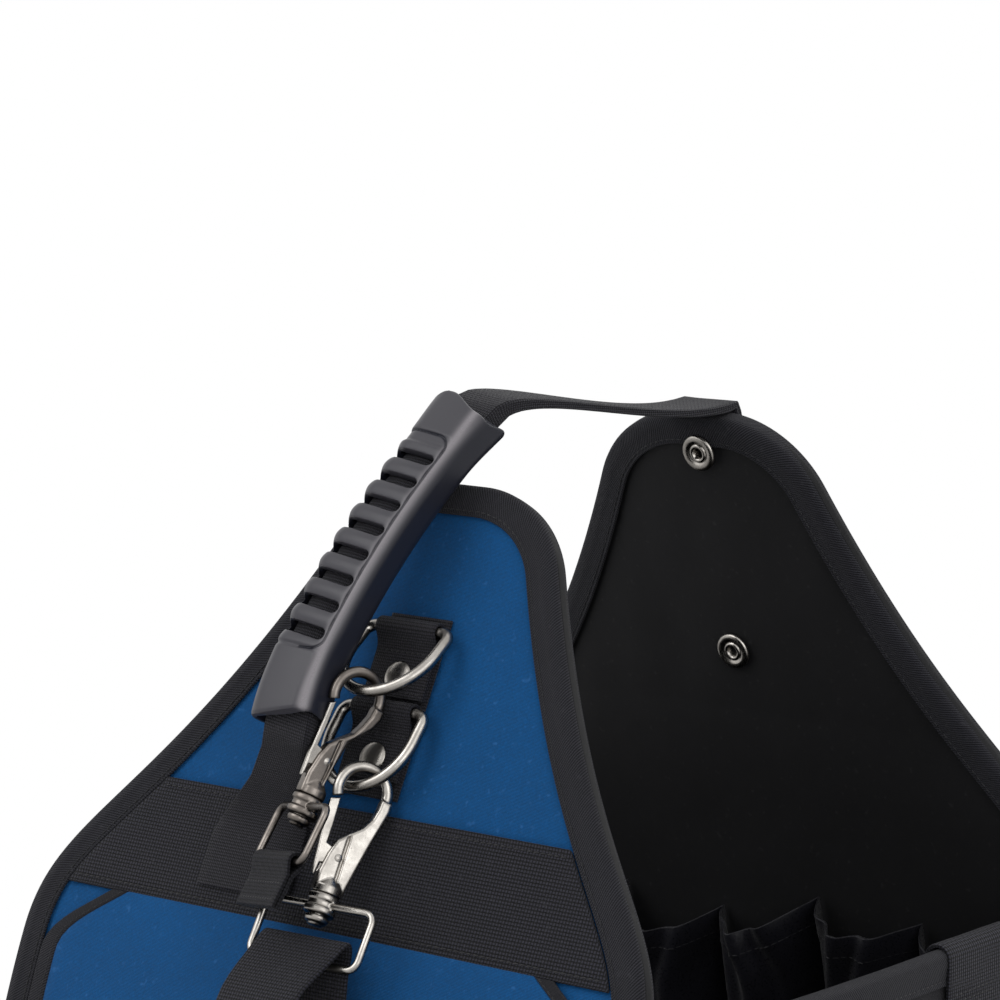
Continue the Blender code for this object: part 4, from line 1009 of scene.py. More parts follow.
@dataclass(frozen=True)
class Plated(Finish):
    """Nickel-plated castings and wire: satin, with uneven tone, fine specks, and painted shade at glancing
    rims and on faces that look down.
    """

    name: str
    colour: Colour
    # The dark tone of the random pits and clouding; half of it is the painted shade.
    shadow: Colour
    roughness: float

    def write(self, n: Nodes, shader: bpy.types.Node) -> None:
        """Plating that varies a little in tone and polish, with painted shade at its glancing rims and on
        faces that look down.

        Args:
            n: the writer of the material's tree.
            shader: its Principled BSDF.
        """
        place = n.add("ShaderNodeTexCoord").outputs["Object"]
        cloudy = n.ramp(n.noise(place, 120.0, 5.0, 0.65), 0.35, 0.7)
        fine = n.noise(place, 2600.0, 2.0, 0.6)
        pits = n.ramp(n.noise(place, 900.0, 2.0, 0.5), 0.68, 0.8)
        body = n.mix(n.math("MULTIPLY_ADD", pits, 0.5, n.math("MULTIPLY", cloudy, 0.55)), self.colour,
                     self.shadow)
        # Painted shade: rims seen at a glancing angle and faces that look down are darkened towards half the
        # shadow colour, as painted dark reflections.
        facing = n.add("ShaderNodeLayerWeight").outputs["Facing"]
        level = n.add("ShaderNodeSeparateXYZ",
                      {0: n.add("ShaderNodeNewGeometry").outputs["Normal"]}).outputs["Z"]
        painted_shade = n.math("MAXIMUM", n.ramp(facing, 0.35, 0.95),
                      n.ramp(n.math("MULTIPLY", level, -1.0), -0.15, 0.7))
        body = n.mix(painted_shade, body, tuple(value * 0.5 for value in self.shadow))
        n.feed(shader.inputs["Base Color"], body)
        shader.inputs["Metallic"].default_value = 1.0
        n.feed(shader.inputs["Roughness"], n.math("MULTIPLY_ADD", cloudy, 0.14, self.roughness))
        height = n.math("MULTIPLY_ADD", cloudy, 0.02 * MM, n.math("MULTIPLY", fine, 0.006 * MM))
        n.bump(shader, height, 0.6)


BLUE_CORDURA = Woven("blue_cordura", (0.004, 0.105, 0.310), (0.001, 0.050, 0.165), 0.55, 0.55, 0.13, 0.85,
                     0.05,
                     unevenness=0.22, lint=0.25)
BLACK_LINING = Woven("black_lining", (0.010, 0.010, 0.011), (0.006, 0.006, 0.007), 0.3, 0.3, 0.02, 0.68, 0.05,
                     unevenness=0.3, crease=0.5, lint=0.15)
WALL_CLOTH = Woven("wall_cloth", (0.021, 0.021, 0.025), (0.006, 0.006, 0.008), 0.6, 0.6, 0.12, 0.8, 0.08,
                   crease=0.4, lint=0.2)
POCKET_NYLON = Woven("pocket_nylon", (0.014, 0.014, 0.019), (0.008, 0.008, 0.011), 0.28, 0.28, 0.02, 0.3, 0.1,
                     unevenness=0.2, crease=0.7, lint=0.05)
BINDING_TAPE = Woven("binding_tape", (0.031, 0.031, 0.039), (0.003, 0.003, 0.005), 1.7, 1.25, 0.42, 0.8, 0.06,
                     weave=Weave.TWILL, lint=0.15)
COARSE_WEBBING = Woven("coarse_webbing", (0.030, 0.030, 0.042), (0.0015, 0.0015, 0.002), 1.5, 1.5, 0.6, 0.7,
                       0.05, lint=0.1)
STRAP_WEBBING = Woven("strap_webbing", (0.032, 0.031, 0.041), (0.002, 0.002, 0.003), 1.0, 1.3, 0.45, 0.68,
                      0.06, lint=0.1)
SHADED_WEBBING = Woven("shaded_webbing", (0.018, 0.018, 0.024), (0.002, 0.002, 0.003), 1.5, 1.5, 0.5, 0.75,
                       0.04, lint=0.1)
THREAD = Woven("thread", (0.028, 0.028, 0.032), (0.010, 0.010, 0.012), 0.25, 0.4, 0.05, 0.6, 0.2, lint=0.0)
# The grip's pale ridge is a painted highlight, laid on through the per-vertex mask that Handle writes.
GRIP_PLASTIC = Moulded("grip_plastic", (0.013, 0.014, 0.022), (0.020, 0.021, 0.030), 0.36, 0.03,
                       painted_highlight=(0.260, 0.245, 0.262))
BASE_RUBBER = Moulded("base_rubber", (0.018, 0.018, 0.020), (0.034, 0.034, 0.036), 0.5, 0.09, 700.0)
NICKEL = Plated("nickel", (0.50, 0.475, 0.44), (0.15, 0.135, 0.12), 0.22)
# A darker copy of the nickel for the upper hook: painted shade for the grip's shadow on it.
SHADED_NICKEL = Plated("shaded_nickel", (0.24, 0.215, 0.195), (0.06, 0.050, 0.043), 0.26)


# Placing


def show(name: str, mesh: bpy.types.Mesh, finishes: Sequence[Finish], body: str, nodes: Sequence[str] = (),
         matrix: Matrix | None = None, sharp: float = 40.0) -> bpy.types.Object:
    """Puts a finished mesh in the scene as a piece.

    Args:
        name: the piece's name.
        mesh: its mesh.
        finishes: its finishes, one for each material slot of the mesh.
        body: the body that it rides on.
        nodes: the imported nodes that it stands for.
        matrix: where it stands, if its mesh is in local axes.
        sharp: the angle in degrees past which an edge stays sharp.

    Returns:
        The new object.
    """
    mesh.name = name
    if matrix is not None:
        mesh.transform(matrix)
    if len(finishes) == 1:
        mesh.materials.clear()
    for finish in finishes:
        mesh.materials.append(finish.material())
    mesh.shade_smooth()
    mesh.set_sharp_from_angle(angle=math.radians(sharp))
    obj = bpy.data.objects.new(name, mesh)
    bpy.context.scene.collection.objects.link(obj)
    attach(obj, body)
    if nodes:
        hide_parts(*nodes)
    LOG.info("%s: %d faces on %s", name, len(mesh.polygons), body)
    return obj


# Leaning ends


@dataclass(frozen=True)
class LeaningEnd:
    """A leaning end panel's surface: flat in its upper part, curved to upright at its foot."""

    word: str
    sign: int
    lean_angle: float
    face: float
    inside: float
    outside: float
    bend_height: float = 202.0 * MM
    upper_length: float = 185.0 * MM
    half_width: float = 161.5 * MM
    top_flat: float = 10.0 * MM
    top_radius: float = 52.0 * MM
    shoulder_angle: float = 24.5
    flank_handle: float = 138.0 * MM
    side_handle: float = 54.0 * MM
    flank_depth: float = 215.0 * MM
    foot_height: float = 4.3 * MM

    @property
    def lean(self) -> float:
        """The lean in radians."""
        return math.radians(self.lean_angle)

    @property
    def radius(self) -> float:
        """The radius of the curved part."""
        return self.bend_height / math.sin(self.lean)

    def angle(self, depth: float) -> float:
        """The slope at a depth."""
        return self.lean - max(depth - self.upper_length, 0.0) / self.radius

    def outward(self, depth: float) -> Vector:
        """The outward direction at a depth."""
        angle = self.angle(depth)
        return Vector((0, self.sign * math.cos(angle), math.sin(angle)))

    def up(self, depth: float) -> Vector:
        """The direction up the face at a depth."""
        angle = self.angle(depth)
        return Vector((0, -self.sign * math.sin(angle), math.cos(angle)))

    def point(self, x: float, depth: float, off: float) -> Vector:
        """The point across, down and out from the panel's reference face.

        Args:
            x: the place across.
            depth: the depth down the face.
            off: how far out.

        Returns:
            The point.
        """
        angle = self.angle(depth)
        inward = self.radius * (1 - math.cos(angle))
        height = self.radius * math.sin(angle)
        if depth <= self.upper_length:
            inward += (self.upper_length - depth) * math.sin(self.lean)
            height += (self.upper_length - depth) * math.cos(self.lean)
        return Vector((x, self.sign * (self.face - inward), height)) + off * self.outward(depth)

    def frame(self, x: float, depth: float, off: float) -> Matrix:
        """Local X across, Y up the panel and Z outwards, at a point on it."""
        up, out = self.up(depth), self.outward(depth)
        return axes(up.cross(out), up, out, self.point(x, depth, off))

    def depth_at(self, height: float, off: float = 0.0) -> float:
        """The depth at which the curved part reaches a height."""
        return self.upper_length + self.radius * (self.lean - math.asin(height / (self.radius + off)))

    def face_at(self, height: float, off: float) -> float:
        """The Y of the surface at this off, at a height on the curved part."""
        return self.sign * (self.face - self.radius + math.sqrt((self.radius + off) ** 2 - height ** 2))

    def locate(self, point: Vector) -> tuple[float, float]:
        """The depth and off of a point beside the curved part.

        Args:
            point: the point.

        Returns:
            Its depth and its off.
        """
        out = self.sign * point.y - self.face + self.radius
        angle = math.atan2(point.z, out)
        return self.upper_length + self.radius * (self.lean - angle), math.hypot(out, point.z) - self.radius

    @lru_cache(maxsize=None)
    def half_outline(self) -> tuple[tuple[float, float], ...]:
        """Half width and depth down one edge: the top corner, the flank and the side.

        Returns:
            The pairs from the top's middle to the foot.
        """
        shoulder = math.radians(self.shoulder_angle)
        points = [(0.0, 0.0), (self.top_flat / 2, 0.0)]
        for i in range(25):
            turn = (math.pi / 2 - shoulder) * i / 24
            points.append((self.top_flat + self.top_radius * math.sin(turn),
                           self.top_radius * (1 - math.cos(turn))))
        start = Vector(points[-1])
        handle = start + self.flank_handle * Vector((math.sin(shoulder), math.cos(shoulder)))
        finish = Vector((self.half_width, self.flank_depth))
        side = finish - Vector((0, self.side_handle))
        for i in range(1, 57):
            t = i / 56
            points.append(tuple((1 - t) ** 3 * start + 3 * (1 - t) ** 2 * t * handle
                                + 3 * (1 - t) * t * t * side + t ** 3 * finish))
        foot = self.depth_at(self.foot_height)
        points += [(self.half_width, self.flank_depth + (foot - self.flank_depth) * i / 44)
                   for i in range(1, 45)]
        return tuple(points)

    @lru_cache(maxsize=None)
    def edge_path(self) -> tuple[tuple[Vector, Vector], ...]:
        """Edge points from the left foot over the top to the right foot, with inward directions.

        Returns:
            Pairs of an edge point and the direction inwards.
        """
        right = self.half_outline()
        points = [(-x, v) for x, v in reversed(right[1:])] + list(right)
        found = []
        for i, (x, v) in enumerate(points):
            before, after = points[max(i - 1, 0)], points[min(i + 1, len(points) - 1)]
            along = Vector((after[0] - before[0], after[1] - before[1])).normalized()
            found.append((Vector((x, v)), Vector((-along.y, along.x))))
        return tuple(found)

    @lru_cache(maxsize=None)
    def inner_edge(self, clear: float) -> tuple[tuple[float, float], ...]:
        """Half width and depth along a line that keeps this clearance inside the edge."""
        line = [place + inward * clear for place, inward in self.edge_path() if place.x >= 0]
        return tuple((spot.x, spot.y) for spot in line)

    def half_at(self, depth: float, clear: float) -> float:
        """Half width at a depth, less a clearance measured square to the edge.

        Args:
            depth: the depth.
            clear: the clearance.

        Returns:
            The half width.
        """
        line = self.inner_edge(clear)
        for first, second in zip(line, line[1:]):
            if first[1] <= depth <= second[1]:
                share = (depth - first[1]) / max(second[1] - first[1], 1e-9)
                return first[0] + (second[0] - first[0]) * share
        return line[-1][0]


FRONT = LeaningEnd("front", -1, 27.0, 187.9 * MM, -8.0 * MM, 0.0)
REAR = LeaningEnd("rear", 1, 15.5, 179.9 * MM, 0.0, 8.0 * MM)
BINDING_COVER = 12.5 * MM
BINDING_THICKNESS = 1.2 * MM
WEBBING_WIDTH = 50.0 * MM
WEBBING_THICKNESS = 1.8 * MM
BAND_DEPTH = 141.0 * MM
BASE_HEIGHT = 30.0 * MM


@dataclass
class DressedEnd:
    """One end of the bag: its padded panel, binding, band, patch pocket and inner tool pockets."""

    end: LeaningEnd
    pocket_thickness: float = 2.4 * MM
    pocket_crown: float = 2.0 * MM
    pocket_half_top: float = 117.0 * MM
    pocket_shoulder_drop: float = 30.0 * MM
    pocket_binding: float = 9.0 * MM
    binding_roll: float = 3.4 * MM
    binding_seam: float = 10.3 * MM
    band_seam: float = 3.0 * MM
    inner_top: float = 152.0 * MM
    inner_bottom: float = 14.0 * MM
    inner_depth: float = 26.0 * MM
    inner_sheet: float = 2.0 * MM
    inner_half_span: float = 138.0 * MM
    inner_count: int = 5
    inner_pitch: float = 3.6 * MM
    seams: list[Seam] = field(default_factory=list)

    def build(self) -> None:
        """Builds every piece of this end."""
        self.panel()
        self.binding()
        self.band()
        self.patch_pocket()
        self.inner_pockets()
        show(f"{self.end.word}_end_thread", stitches(self.seams), [THREAD], "bag")

    def panel(self) -> None:
        """The padded panel: cordura outside, smooth lining inside, sunk a little along its seams."""
        end = self.end
        rows = [(x, depth) for x, depth in end.half_outline() if x > 2 * MM]
        columns = 56
        sheet = Sheet()
        for half, depth in rows:
            sheet.row()
            for j in range(columns + 1):
                x = half * math.sin(math.pi / 2 * (2 * j / columns - 1))
                inset = max(half - abs(x) - BINDING_COVER, 0.0)
                seam = math.exp(-inset / (5 * MM)) + 0.7 * math.exp(-abs(depth - BAND_DEPTH) / (4 * MM))
                seam = min(seam, 1.0)
                spot = Vector((x, depth, 0))
                dip = 0.55 * seam + 0.3 * (1 + wander(spot, 38 * MM, 3 + end.sign)) * (1 - 0.6 * seam)
                spot = Vector((x * 1.6, depth * 0.6, 0))
                soft = 0.5 * seam + 0.55 * (1 + wander(spot, 34 * MM, 9 + end.sign))
                sheet.add(end.point(x, depth, end.outside - dip * MM),
                          end.point(x, depth, end.inside + soft * MM), x, depth)
        show(f"{end.word}_padded_panel", sheet.mesh((0, 1, 1)), [BLUE_CORDURA, BLACK_LINING], "bag",
                       [f"{end.word}_end_panel"])

    def pucker(self, place: Vector, across: float, ridge: float, seed: float) -> float:
        """How far the binding tape stands out: a ridge over its roll, sunk along its seam.

        Args:
            place: where on the panel's edge, for the wandering.
            across: how far in from the edge.
            ridge: the ridge's height in millimetres.
            seed: moves the wandering.

        Returns:
            The lift in metres.
        """
        lift = ridge * math.exp(-((across / MM - 4.2) / 1.6) ** 2)
        lift -= 0.3 * math.exp(-((across - self.binding_seam) / (0.7 * MM)) ** 2)
        return (lift + 0.16 * wander(place + Vector((across, 0, 0)), 9 * MM, seed)) * MM

    def binding(self) -> None:
        """Twill tape folded over the whole edge, with a rolled ridge and a row of stitches each side."""
        end = self.end
        rings = []
        outer, inner = GAP + BINDING_THICKNESS, GAP
        high, low, roll = end.outside, end.inside, self.binding_roll
        flats = [BINDING_COVER - 0.5 * MM - (BINDING_COVER - 0.5 * MM - roll + outer) * i / 7
                 for i in range(8)]
        lines: dict[int, tuple[list[Vector], list[Vector]]] = {1: ([], []), -1: ([], [])}
        for place, inward in end.edge_path():
            seed = Vector((place.x, place.y, 0))
            section = []
            for across in flats:
                section.append((across, high + outer + self.pucker(seed, across, 0.5, 2)))
            corner = [(roll - outer - roll * math.sin(math.radians(a)), roll * math.cos(math.radians(a)))
                      for a in range(15, 90, 15)]
            section += [(x, high + outer - roll + y) for x, y in corner]
            section.append((-outer, (high + low) / 2))
            section += [(x, low - outer + roll - y) for x, y in reversed(corner)]
            for across in reversed(flats):
                section.append((across, low - outer - self.pucker(seed, across, 0.45, 6)))
            section += [(BINDING_COVER, low - outer + 0.5 * MM), (BINDING_COVER - 0.2 * MM, low - inner),
                        (4 * MM, low - inner), (-inner + 1 * MM, low + 0.2 * MM),
                        (-inner + 1 * MM, high - 0.2 * MM),
                        (4 * MM, high + inner), (BINDING_COVER - 0.2 * MM, high + inner),
                        (BINDING_COVER, high + outer - 0.5 * MM)]
            ring = []
            for across, off in section:
                spot = place + inward * across
                ring.append(end.point(spot.x, spot.y, off))
            rings.append(ring)
            spot = place + inward * self.binding_seam
            for side, off in ((1, high + outer - 0.15 * MM), (-1, low - outer + 0.15 * MM)):
                lines[side][0].append(end.point(spot.x, spot.y, off))
                lines[side][1].append(end.outward(spot.y) * side)
        show(f"{end.word}_binding_tape", tubed(rings), [BINDING_TAPE], "bag", [f"{end.word}_panel_binding"])
        self.seams += [Seam(*lines[1]), Seam(*lines[-1])]

    def band(self) -> None:
        """Wide webbing across the outer face, sewn along both edges."""
        end = self.end
        low = end.outside + GAP
        sheet = Sheet()
        rows, columns = 16, 72
        for i in range(rows + 1):
            depth = BAND_DEPTH + WEBBING_WIDTH * i / rows
            reach = end.half_at(depth, BINDING_COVER + 2 * GAP) - 0.6 * MM
            sheet.row()
            for j in range(columns + 1):
                x = reach * (2 * j / columns - 1)
                edge = min(i, rows - i) / rows
                dip = 0.25 * math.exp(-((edge - 1 / 16) / 0.03) ** 2)
                lift = 0.25 * wander(Vector((x, depth, 0)), 30 * MM, 4) * min(edge * 4, 1.0)
                sheet.add(end.point(x, depth, low + WEBBING_THICKNESS + (lift - dip) * MM),
                          end.point(x, depth, low), x, depth)
        show(f"{end.word}_wide_band", sheet.mesh(), [COARSE_WEBBING], "bag", [f"{end.word}_band"])
        for depth in (BAND_DEPTH + self.band_seam, BAND_DEPTH + WEBBING_WIDTH - self.band_seam):
            reach = end.half_at(depth, BINDING_COVER + 2 * GAP) - self.band_seam
            places = [end.point(reach * (2 * j / 60 - 1), depth, low + WEBBING_THICKNESS - 0.15 * MM)
                      for j in range(61)]
            self.seams.append(Seam(places, [end.outward(depth)] * 61))

    def pocket_half(self, depth: float) -> float:
        """Half width of the patch pocket at a depth.

        Args:
            depth: the depth.

        Returns:
            The half width.
        """
        top = BAND_DEPTH + WEBBING_WIDTH + GAP
        full = self.end.half_at(depth, BINDING_COVER + 2 * GAP) - 0.4 * MM
        share = min((depth - top) / self.pocket_shoulder_drop, 1.0)
        narrow = self.pocket_half_top + (full - self.pocket_half_top) * math.sin(share * math.pi / 2)
        return min(full, narrow)

    def patch_pocket(self) -> None:
        """The blue pocket under the band with its bound side edges."""
        end = self.end
        top = BAND_DEPTH + WEBBING_WIDTH + 2 * GAP
        foot = end.depth_at(BASE_HEIGHT + GAP)
        depths = [top + (foot - top) * (i / 40) ** 1.15 for i in range(41)]
        low = end.outside + GAP
        sheet = Sheet()
        for depth in depths:
            half = self.pocket_half(depth) - self.pocket_binding - GAP
            rise = math.sin(math.pi * (depth - top) / (foot - top))
            sheet.row()
            for j in range(49):
                x = half * (2 * j / 48 - 1)
                swell = self.pocket_crown * rise * math.cos(math.pi * x / (2 * half))
                lift = 0.4 * MM * wander(Vector((x, depth, 0)), 32 * MM, 12) * min(rise * 3, 1.0)
                sheet.add(end.point(x, depth, low + self.pocket_thickness * 0.9 + swell + lift),
                          end.point(x, depth, low), x, depth)
        show(f"{end.word}_blue_pocket", sheet.mesh(), [BLUE_CORDURA], "bag",
                      [f"{end.word}_patch_pocket"])
        for side, word in ((-1, "left"), (1, "right")):
            rings, places, facing = [], [], []
            thick = self.pocket_thickness
            for depth in depths:
                outer = self.pocket_half(depth)
                inner = outer - self.pocket_binding
                section = rounded_rectangle(self.pocket_binding / 2, thick / 2, thick * 0.49, 4)
                middle = (outer + inner) / 2
                wave = 0.15 * MM * wander(Vector((middle, depth, 0)), 8 * MM, 5)
                rings.append([end.point(side * (middle + x), depth, low + thick / 2 + y + wave)
                              for x, y in section])
                places.append(end.point(side * (inner + 2.2 * MM), depth, low + thick - 0.1 * MM + wave))
                facing.append(end.outward(depth))
            show(f"{end.word}_pocket_tape_{word}", tubed(rings), [BINDING_TAPE], "bag",
                 [f"{end.word}_pocket_binding_{word}"])
            self.seams.append(Seam(places, facing))

    def inner_pockets(self) -> None:
        """A strip of nylon tool pockets, pleated between seams, with a loose wavy hem."""
        end = self.end
        seat = end.inside - 2 * GAP
        columns, rows = self.inner_count * 32, 26
        sheet = Sheet()
        for i in range(rows + 1):
            rise = i / rows
            sheet.row()
            run, last = 0.0, None
            for j in range(columns + 1):
                share = j / columns
                x = self.inner_half_span * (2 * share - 1)
                lift = 8 * MM * math.cos(2 * math.pi * share * 1.5) * step_up(rise, 0.5, 1.0)
                lift -= 5 * MM * abs(math.sin(math.pi * share * self.inner_count)) * step_up(rise, 0.6, 1.0)
                height = self.inner_bottom + (self.inner_top - self.inner_bottom) * rise + lift
                depth = end.depth_at(height)
                phase = share * self.inner_count
                local = phase - math.floor(phase)
                belly = abs(math.sin(math.pi * phase)) ** 0.8
                turn = local * 3 + 0.35 * math.sin(7 * rise + 3 * math.floor(phase))
                fold = 0.17 * math.sin(2 * math.pi * turn)
                fold *= step_up(rise, 0.15, 1.0) * belly
                slump = 0.86 + 0.14 * rise + 0.06 * wander(Vector((x, height, end.sign)), 30 * MM, 8)
                swell = self.inner_depth * min(belly * slump + fold * 0.8, 1.08)
                out = seat - swell
                hem = 0.5 * MM if i >= rows - 2 else 0.0
                thick = self.inner_sheet * 0.45 + hem
                spot = end.point(x, depth, out - thick)
                run += (spot - last).length if last else 0.0
                last = spot
                sheet.add(spot, end.point(x, depth, out), run, height)
        show(f"{end.word}_pleated_pockets", sheet.mesh(), [POCKET_NYLON], "bag",
                      [f"{end.word}_inner_pockets"], sharp=60)
        facing = -end.outward(end.depth_at(self.inner_top))
        self.seams.append(Seam(sheet.front[rows - 2][2:-2], [facing] * (columns - 3), self.inner_pitch))


# Side walls


@dataclass
class SideWall:
    """One soft side: the wall, its rolled top binding, the webbing loop and an open outer pocket."""

    word: str
    side: int
    thickness: float = 4.0 * MM
    height: float = 176.0 * MM
    bulge: float = 6.0 * MM
    room: float = 0.6 * MM
    binding_cover: float = 12.5 * MM
    webbing_place: float = 75.6 * MM
    webbing_bottom: float = 34.0 * MM
    webbing_inside_drop: float = 42.0 * MM
    pocket_half: float = 78.0 * MM
    pocket_middle: float = -35.0 * MM
    pocket_top: float = 138.0 * MM
    pocket_depth: float = 16.0 * MM
    binding_seam: float = 10.2 * MM
    webbing_seams: tuple[float, float] = (17.0 * MM, 20.0 * MM)
    seams: list[Seam] = field(default_factory=list)

    def ends(self, height: float) -> tuple[float, float]:
        """The Y of each end of the room between the end panels at a height.

        Args:
            height: the height.

        Returns:
            The lower and the higher Y.
        """
        margin = BINDING_THICKNESS + 2 * GAP
        return (FRONT.face_at(height, FRONT.inside - margin) + self.room,
                REAR.face_at(height, REAR.inside - margin) - self.room)

    def point(self, share: float, height: float, off: float) -> Vector:
        """A point on the wall's outer face, or off it, at a share of its length.

        Args:
            share: the share of its length.
            height: the height.
            off: how far out.

        Returns:
            The point.
        """
        low, high = self.ends(min(height, self.height))
        rise = min(max(height - BASE_HEIGHT, 0.0) / (self.height - BASE_HEIGHT), 1.0)
        swell = self.bulge * math.sin(math.pi * share) * math.sin(math.pi * rise / 2)
        out = FRONT.half_width - GAP + swell + off
        return Vector((self.side * out, low + (high - low) * share, height))

    def share_at(self, y: float, height: float | None = None) -> float:
        """The share of the wall's length at a Y."""
        low, high = self.ends(height or self.height)
        return (y - low) / (high - low)

    def build(self) -> None:
        """Builds every piece of this side."""
        self.wall()
        self.top_binding()
        self.webbing()
        self.pocket()
        show(f"{self.word}_side_thread", stitches(self.seams), [THREAD], "bag")

    def wall(self) -> None:
        """The wall as a lofted shell that sags a little between the ends."""
        rows, columns = 34, 72
        sheet = Sheet()
        for i in range(rows + 1):
            height = 4.4 * MM + (self.height - 4.6 * MM) * i / rows
            free = step_up(height, BASE_HEIGHT, 60 * MM)
            sheet.row()
            for j in range(columns + 1):
                share = j / columns
                spot = Vector((share * 0.33, height, self.side))
                slack = free * math.sin(math.pi * share) ** 0.5
                crease = 0.8 * wander(Vector((share * 0.36, height * 1.7, self.side)), 45 * MM, 1) * slack
                crease += 0.5 * wander(spot * 1.9, 30 * MM, 5) * slack
                outer = self.point(share, height, (min(crease, 0.0) - 0.15) * MM)
                inner = self.point(share, height, -self.thickness + (max(crease, 0.0) + 0.15) * MM)
                sheet.add(outer, inner, outer.y, height)
        show(f"{self.word}_soft_wall", sheet.mesh((0, 1, 0)), [WALL_CLOTH, BLACK_LINING], "bag",
                      [f"{self.word}_side_wall"])

    def top_binding(self) -> None:
        """Tape rolled over the wall's top edge, fat and slightly puckered by its stitches."""
        rings = []
        seams: dict[int, tuple[list[Vector], list[Vector]]] = {1: ([], []), -1: ([], [])}
        outer = BINDING_THICKNESS + 2 * GAP
        steps = 90
        ends = self.ends(self.height)
        for j in range(steps + 1):
            share = j / steps
            pucker = 0.2 * MM * wander(Vector((share * 0.33, 0, self.side)), 7 * MM, 3)
            section = []
            for k in range(9):
                drop = self.binding_cover - k * (self.binding_cover - 1.5 * MM) / 8
                roll = 0.7 * MM * math.exp(-((drop / MM - 3.5) / 2.5) ** 2)
                tuck = 0.35 * MM * math.exp(-((drop - self.binding_seam) / (0.8 * MM)) ** 2)
                section.append((drop, outer + roll - tuck + pucker))
            for a in range(15, 180, 15):
                half = (self.thickness + 2 * outer) / 2 + 0.6 * MM
                angle = math.radians(a)
                section.append((1.5 * MM - 3.6 * MM * math.sin(angle),
                                half * math.cos(angle) - self.thickness / 2))
            for k in range(8, -1, -1):
                drop = self.binding_cover - k * (self.binding_cover - 1.5 * MM) / 8
                roll = 0.7 * MM * math.exp(-((drop / MM - 3.5) / 2.5) ** 2)
                section.append((drop, -self.thickness - outer - roll - pucker))
            section += [(self.binding_cover + 0.3 * MM, -self.thickness - outer / 2),
                        (self.binding_cover - 1 * MM, -self.thickness - 0.5 * GAP),
                        (1 * MM, -self.thickness - 0.5 * GAP),
                        (-0.4 * GAP, -self.thickness / 2), (1 * MM, 0.5 * GAP),
                        (self.binding_cover - 1 * MM, 0.5 * GAP),
                        (self.binding_cover + 0.3 * MM, outer / 2)]
            ring = []
            for drop, off in section:
                spot = self.point(share, self.height - max(drop, 0.0), off)
                ring.append(Vector((spot.x, ends[0] + (ends[1] - ends[0]) * share, self.height - drop)))
            rings.append(ring)
            for face, off in ((1, outer + pucker - 0.35 * MM), (-1, -self.thickness - outer + 0.1 * MM)):
                spot = self.point(share, self.height - self.binding_seam, off)
                seams[face][0].append(Vector((spot.x, ends[0] + (ends[1] - ends[0]) * share, spot.z)))
                seams[face][1].append(Vector((self.side * face, 0, 0)))
        show(f"{self.word}_rolled_top", tubed(rings), [BINDING_TAPE], "bag", [f"{self.word}_wall_binding"])
        self.seams += [Seam(*seams[1]), Seam(*seams[-1])]

    def webbing(self) -> None:
        """Wide webbing over the wall's top, down its outside and a little way down its inside."""
        clear = BINDING_THICKNESS + 3 * GAP + WEBBING_THICKNESS / 2 + 0.5 * MM
        path = []
        steps = 22
        for i in range(steps + 1):
            height = self.webbing_bottom + (self.height - 2 * MM - self.webbing_bottom) * i / steps
            path.append((height, clear - 0.5 * MM * (1 - step_up(height, 150 * MM, 170 * MM))))
        half = self.thickness / 2 + clear
        for a in range(15, 180, 15):
            angle = math.radians(a)
            path.append((self.height - 2 * MM + 5.6 * MM * math.sin(angle),
                         half * math.cos(angle) - self.thickness / 2))
        for i in range(9):
            path.append((self.height - 2 * MM - (self.webbing_inside_drop - 2 * MM) * i / 8,
                         -self.thickness - clear))
        points = []
        for height, off in path:
            capped = min(height, self.height)
            spot = self.point(self.share_at(self.webbing_place, capped), capped, off)
            spot.z = height
            points.append(spot)
        stations = folded(points, Vector((0, 1, 0)), WEBBING_WIDTH, WEBBING_THICKNESS, -self.side)
        show(f"{self.word}_webbing_loop", strap(stations, ripple=0.3 * MM, columns=12, seed=self.side),
             [COARSE_WEBBING], "bag", [f"{self.word}_side_webbing"])
        off = clear + WEBBING_THICKNESS / 2 - 0.35 * MM
        for height in (self.height - drop for drop in self.webbing_seams):
            places = []
            for k in range(9):
                y = self.webbing_place + (WEBBING_WIDTH / 2 - 3 * MM) * (2 * k / 8 - 1)
                places.append(self.point(self.share_at(y, height), height, off))
            self.seams.append(Seam(places, [Vector((self.side, 0, 0))] * 9))

    def pocket(self) -> None:
        """An open pocket that bellies out from the wall, with a bound top."""
        columns, rows = 44, 26
        sheet = Sheet()
        for i in range(rows + 1):
            height = BASE_HEIGHT + 2 * GAP + (self.pocket_top - BASE_HEIGHT - 2 * GAP) * i / rows
            sheet.row()
            for j in range(columns + 1):
                share = j / columns
                y = self.pocket_middle + self.pocket_half * (2 * share - 1)
                along = self.share_at(y)
                belly = self.pocket_depth * math.sin(math.pi * share) ** 0.7
                belly *= math.sin(math.pi * i / rows / 2) ** 0.6
                fold = 0.9 * MM * wander(Vector((y, height, self.side)), 24 * MM, 7)
                fold *= math.sin(math.pi * share)
                thick = (1.7 + (0.9 if i >= rows - 3 else 0.0)) * MM
                sheet.add(self.point(along, height, GAP + thick + max(belly + fold, 0.0)),
                          self.point(along, height, GAP + max(belly + fold, 0.0) * 0.99), y, height)
        show(f"{self.word}_open_pocket", sheet.mesh(hem=3), [WALL_CLOTH, BINDING_TAPE], "bag",
                      [f"{self.word}_side_pocket"], sharp=60)
        rim = [spot + Vector((self.side * 0.7 * MM, 0, 1.3 * MM)) for spot in sheet.front[rows - 3]]
        self.seams.append(Seam(rim, [Vector((self.side, 0, 0))] * len(rim)))


# Base


